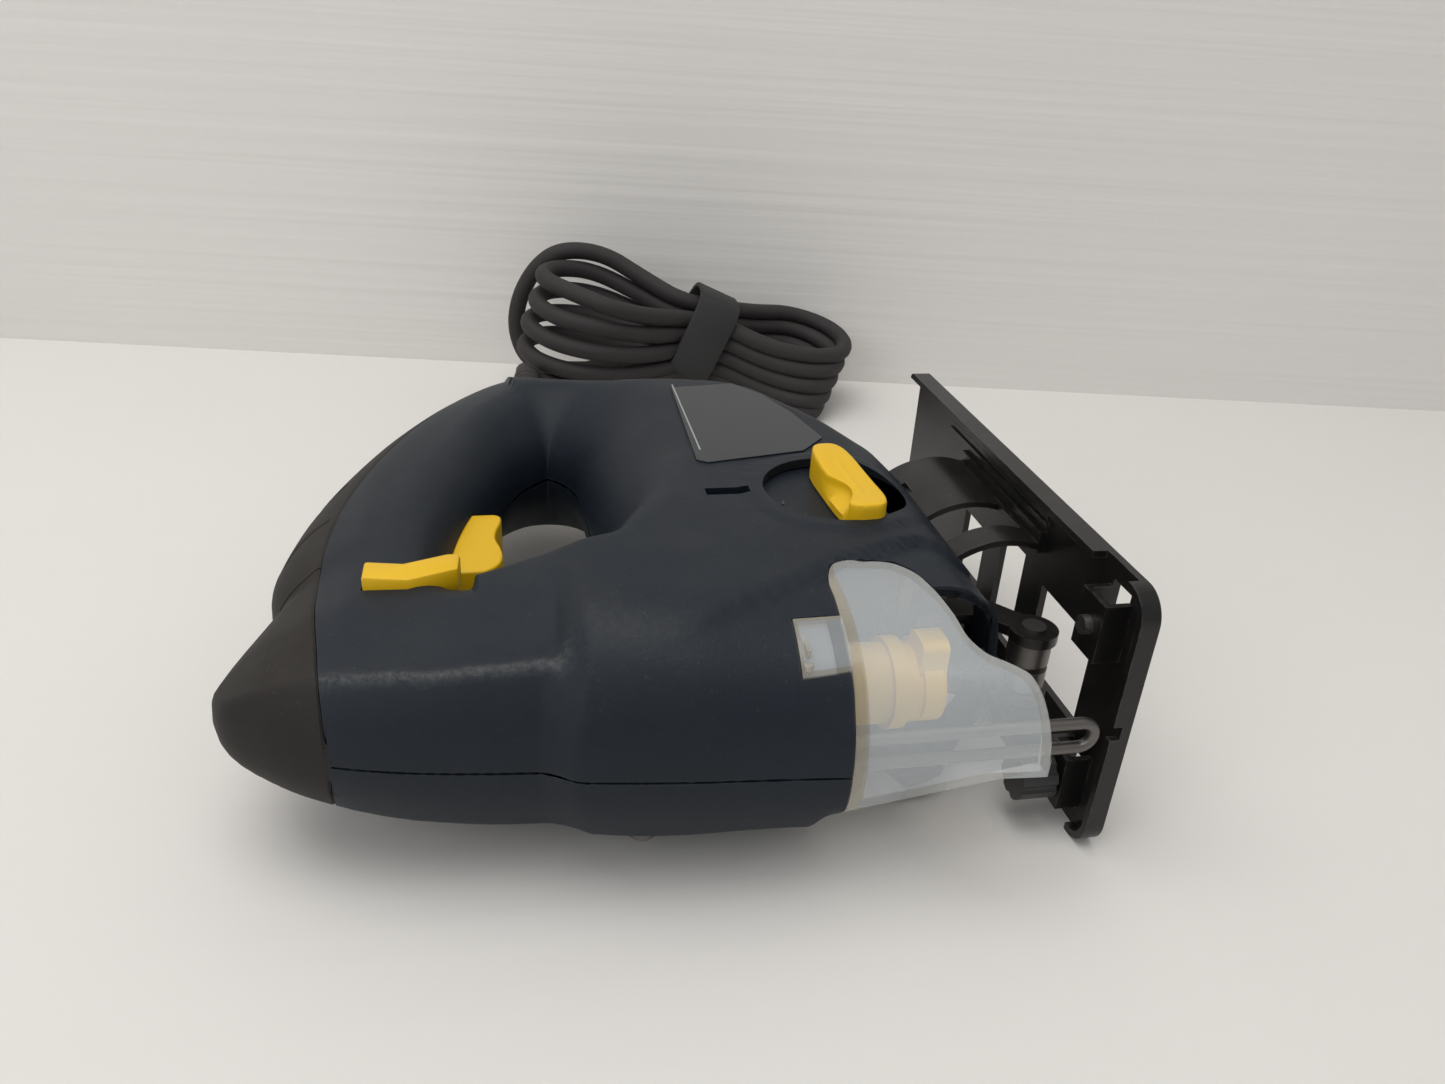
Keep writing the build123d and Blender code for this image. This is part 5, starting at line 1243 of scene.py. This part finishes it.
def metal_finishes(colours):
    """The shoe's paint, steels and castings, and the motor's copper, bronze and carbon."""
    finish("black_paint", tuple(colours.paint), 0.33, grain=1000, depth=0.6, bump=0.00006, cloud=0.3,
           dust=0.10, wear=((0.10, 0.09, 0.08), 0.0006, 0.75, 260.0), Specular_IOR_Level=0.4)
    finish("dark_steel", (0.055, 0.05, 0.047), 0.42, 1.0, grain=1500, bump=0.00004, cloud=0.35, dust=0.15,
           wear=((0.32, 0.30, 0.28), 0.0004, 0.7, 300.0))
    finish("steel", (0.50, 0.49, 0.47), 0.32, 1.0, grain=2200, bump=0.00003, cloud=0.2)
    finish("cast_alloy", (0.42, 0.42, 0.43), 0.5, 1.0, grain=700, depth=0.9, bump=0.0003, cloud=0.25)
    finish("lamination", (0.20, 0.19, 0.19), 0.45, 1.0, grain=3000, bump=0.0001, cloud=0.3)
    finish("copper", (0.55, 0.20, 0.08), 0.3, 1.0, grain=2600, depth=0.9, bump=0.0002, cloud=0.2)
    finish("bronze", (0.42, 0.27, 0.11), 0.4, 1.0, grain=1800, bump=0.0001, cloud=0.2)
    finish("carbon", (0.02, 0.02, 0.021), 0.5, grain=1600, bump=0.0001, cloud=0.2)


def strap_finish():
    """The strap's dull, hairy cloth."""
    strap = finish("strap_fabric", (0.0040, 0.0036, 0.0034), 0.95, bump=0, cloud=0.3, dust=0.02,
                   Sheen_Weight=0.06, Sheen_Roughness=0.5, Specular_IOR_Level=0.15)
    tree = strap.node_tree
    fuzz = place_group(tree, "Fuzz", Scale=1500.0)
    bump_node(tree, fuzz.outputs["Height"], 0.0005, tree.nodes["Principled BSDF"])


def clear_material(name, tint, rough, film, passing):
    """Clear moulded plastic: a thin gloss film that shows what lies behind it, and is denser where it is
    seen edge on, where its lamp-lit tint is a painted reflection. film is how much of it shows from straight
    in front, and passing is how much light its shadow lets through."""
    _, tree, shader = new_material(name)
    for label, value in (("Base Color", (*tint, 1)), ("Specular IOR Level", 0.8), ("Coat Weight", 0.6),
                         ("Coat Roughness", 0.06)):
        shader.inputs[label].default_value = value
    smear = stretched(tree, noise_node(tree, object_vector(tree), 60.0, 4.0, 0.6), 0.5, 0.12)
    tree.links.new(plus(tree, smear, rough, True), shader.inputs["Roughness"])
    # The film grows to full towards edge-on views: a painted reflection, with its tint standing in for what
    # the plastic mirrors there.
    edge = tree.nodes.new("ShaderNodeLayerWeight")
    edge.inputs["Blend"].default_value = 0.35
    solid = times(tree, edge.outputs["Facing"], 1.0 - film)
    solid = plus(tree, solid, film, True)
    path = tree.nodes.new("ShaderNodeLightPath")
    light = times(tree, path.outputs["Is Shadow Ray"], passing)
    light = less(tree, 1.0, light)
    tree.links.new(times(tree, solid, light), shader.inputs["Alpha"])


# The finish of each record slot. The frame brings materials of its own that are called by their slots, so a
# finish with its slot's name is a second one, and a lookup by that name gives the frame's.
FINISH_BY_SLOT = {
    "housing_navy": "navy_plastic", "grip_rubber": "rubber", "label_gloss": "label_gloss",
    "yellow_plastic": "yellow", "clear_plastic": "clear_plastic", "black_plastic": "black_plastic",
    "black_painted_steel": "black_paint", "dark_steel": "dark_steel", "steel": "steel",
    "cast_alloy": "cast_alloy", "lamination_steel": "lamination", "copper_winding": "copper",
    "sintered_bronze": "bronze", "carbon": "carbon", "cord_rubber": "cord_rubber",
    "strap_fabric": "strap_fabric",
}
# Nodes that are blackened although their slot is bright steel.
FINISH_BY_NODE = {"guide_roller": "dark_steel", "roller_pin": "dark_steel", "arm_pivot_pin": "dark_steel"}


class JIGSAW_OT_finishes(Operator):
    """Builds the finishes and gives each kept node its own"""

    bl_idname = "jigsaw.finishes"
    bl_label = "Finishes"

    def execute(self, context):
        colours = context.scene.jigsaw_colours
        for build_group in (grain_group, edge_wear_group, dust_group, fuzz_group):
            build_group()
        plastic_finishes(colours)
        metal_finishes(colours)
        strap_finish()
        clear_material("clear_plastic", tuple(colours.clear), 0.10, 0.06, 0.8)
        clear_material("clear_edge", (0.40, 0.37, 0.30), 0.25, 0.40, 0.5)
        slots = {part["node"]: part["material_slot"] for part in frame["record"]["subparts"]}
        for node, obj in frame["nodes"].items():
            material = bpy.data.materials[FINISH_BY_NODE.get(node, FINISH_BY_SLOT[slots[node]])]
            if not obj.material_slots:
                obj.data.materials.append(material)
            for slot in obj.material_slots:
                slot.material = material
        return {"FINISHED"}


# ---------------------------------------------------------------- stage

def pale_material(name, colour, wave):
    """Plain pale surface with faint waves, seen only from its front."""
    material, tree, shader = new_material(name)
    shader.inputs["Roughness"].default_value = 0.75
    vector = object_vector(tree)
    cloud = noise_node(tree, vector, 3.0, 3.0, 0.6)
    light = tuple(min(c * 1.03, 1) for c in colour)
    dark = tuple(c * 0.96 for c in colour)
    tree.links.new(mix_colour(tree, cloud, dark, light), shader.inputs["Base Color"])
    stretch = tree.nodes.new("ShaderNodeMapping")
    stretch.inputs["Scale"].default_value = wave
    tree.links.new(vector, stretch.inputs["Vector"])
    bump_node(tree, noise_node(tree, stretch.outputs[0], 1.0, 2.0, 0.5), 0.0005, shader)
    back = tree.nodes.new("ShaderNodeNewGeometry").outputs["Backfacing"]
    tree.links.new(less(tree, 1.0, back), shader.inputs["Alpha"])
    return material


def stage_plane(name, corners, material):
    """One flat four-sided piece of the stage."""
    mesh = bpy.data.meshes.new(name)
    mesh.from_pydata(corners, [], [(0, 1, 2, 3)])
    mesh.materials.append(material)
    obj = bpy.data.objects.new(name, mesh)
    bpy.context.scene.collection.objects.link(obj)


def soft_light(name, place_at, aim, size, power, tint):
    """A rectangular lamp turned to look at a point."""
    lamp = bpy.data.lights.new(name, "AREA")
    lamp.shape = "RECTANGLE"
    lamp.size, lamp.size_y = size
    lamp.energy = power
    lamp.color = tint
    obj = bpy.data.objects.new(name, lamp)
    obj.location = place_at
    obj.rotation_mode = "QUATERNION"
    obj.rotation_quaternion = (Vector(aim) - Vector(place_at)).to_track_quat("-Z", "Y")
    bpy.context.scene.collection.objects.link(obj)


def studio_world(colour, strength):
    """An even light from all round."""
    world = bpy.data.worlds.new("studio")
    world.use_nodes = True
    background = world.node_tree.nodes["Background"]
    background.inputs["Color"].default_value = (*colour, 1)
    background.inputs["Strength"].default_value = strength
    bpy.context.scene.world = world


def aim_camera():
    """The camera: an upright frame looking ahead, rolled a little about that way."""
    camera = bpy.data.objects.new("camera", bpy.data.cameras.new("camera"))
    camera.data.lens = CAMERA_LENS
    camera.data.sensor_width = 36.0
    camera.data.clip_start = 0.01
    ahead = Vector(CAMERA_AHEAD).normalized()
    right = ahead.cross(Vector((0, 0, 1))).normalized()
    turn = Matrix((right, right.cross(ahead), -ahead)).transposed().to_4x4()
    roll = Matrix.Rotation(radians(CAMERA_ROLL), 4, "Z")
    camera.matrix_world = Matrix.Translation(CAMERA_AT) @ turn @ roll
    bpy.context.scene.collection.objects.link(camera)
    bpy.context.scene.camera = camera


# In metres and degrees. The wall's foot is given by two points on the bench.
CAMERA_AT = (-0.03815, -0.2975, 0.198)
CAMERA_AHEAD = (0.1912, 0.8629, -0.4679)
CAMERA_ROLL = 3.44
CAMERA_LENS = 27.03
WALL_FOOT = ((-0.25175, 0.3245), (0.39625, 0.1995))
WALL_TOP = 3.0
BENCH_FRONT = -6


class JIGSAW_OT_stage(Operator):
    """Builds the bench, the wall, the lights and the camera"""

    bl_idname = "jigsaw.stage"
    bl_label = "Stage and camera"

    def execute(self, context):
        colours = context.scene.jigsaw_colours
        floor = pale_material("bench_pale", tuple(colours.floor), (6.0, 60.0, 1.0))
        wall = pale_material("wall_pale", tuple(c * 1.02 for c in colours.floor), (2.0, 2.0, 150.0))
        a, b = Vector(WALL_FOOT[0]), Vector(WALL_FOOT[1])
        along = (b - a).normalized()
        left, right = a - along * 4, b + along * 4
        back = Vector((-along.y, along.x)) * 0.004
        stage_plane("bench", [(*(left + back), 0), (left.x - 1.2, BENCH_FRONT, 0),
                              (right.x - 1.2, BENCH_FRONT, 0), (*(right + back), 0)], floor)
        stage_plane("wall", [(*left, -0.02), (*right, -0.02), (*right, WALL_TOP), (*left, WALL_TOP)], wall)
        studio_world((0.92, 0.93, 0.95), 0.47)
        soft_light("ceiling", (-0.25, -0.1, 1.3), (0.0, 0.05, 0.0), (1.4, 0.9), 11.2, (1.0, 0.985, 0.96))
        soft_light("window", (-1.1, -0.9, 0.9), (0.0, 0.0, 0.05), (0.9, 0.9), 4.2, (0.96, 0.98, 1.0))
        aim_camera()
        context.scene.view_settings.view_transform = "Standard"
        return {"FINISHED"}


class JIGSAW_PT_panel(Panel):
    """Lists the builders and their sizes"""

    bl_label = "Jigsaw"
    bl_idname = "JIGSAW_PT_panel"
    bl_space_type = "VIEW_3D"
    bl_region_type = "UI"
    bl_category = "Jigsaw"

    def draw(self, context):
        for builder in BUILDERS:
            self.layout.operator(builder.bl_idname)
        for group in (context.scene.jigsaw_sizes, context.scene.jigsaw_colours):
            for key in group.__annotations__:
                self.layout.prop(group, key)


BUILDERS = (JIGSAW_OT_finishes, JIGSAW_OT_stage, JIGSAW_OT_cord, JIGSAW_OT_shells, JIGSAW_OT_soft_grip,
            JIGSAW_OT_guard, JIGSAW_OT_controls)
CLASSES = (JigsawSizes, JigsawColours, *BUILDERS, JIGSAW_PT_panel)


def register():
    for cls in CLASSES:
        bpy.utils.register_class(cls)
    bpy.types.Scene.jigsaw_sizes = PointerProperty(type=JigsawSizes)
    bpy.types.Scene.jigsaw_colours = PointerProperty(type=JigsawColours)


def unregister():
    del bpy.types.Scene.jigsaw_colours
    del bpy.types.Scene.jigsaw_sizes
    for cls in reversed(CLASSES):
        bpy.utils.unregister_class(cls)


def main():
    """Registers the classes and builds every piece."""
    register()
    bpy.ops.jigsaw.finishes()
    bpy.ops.jigsaw.stage()
    bpy.ops.jigsaw.cord()
    bpy.ops.jigsaw.shells()
    bpy.ops.jigsaw.soft_grip()
    bpy.ops.jigsaw.guard()
    bpy.ops.jigsaw.controls()


if __name__ == "__main__":
    main()
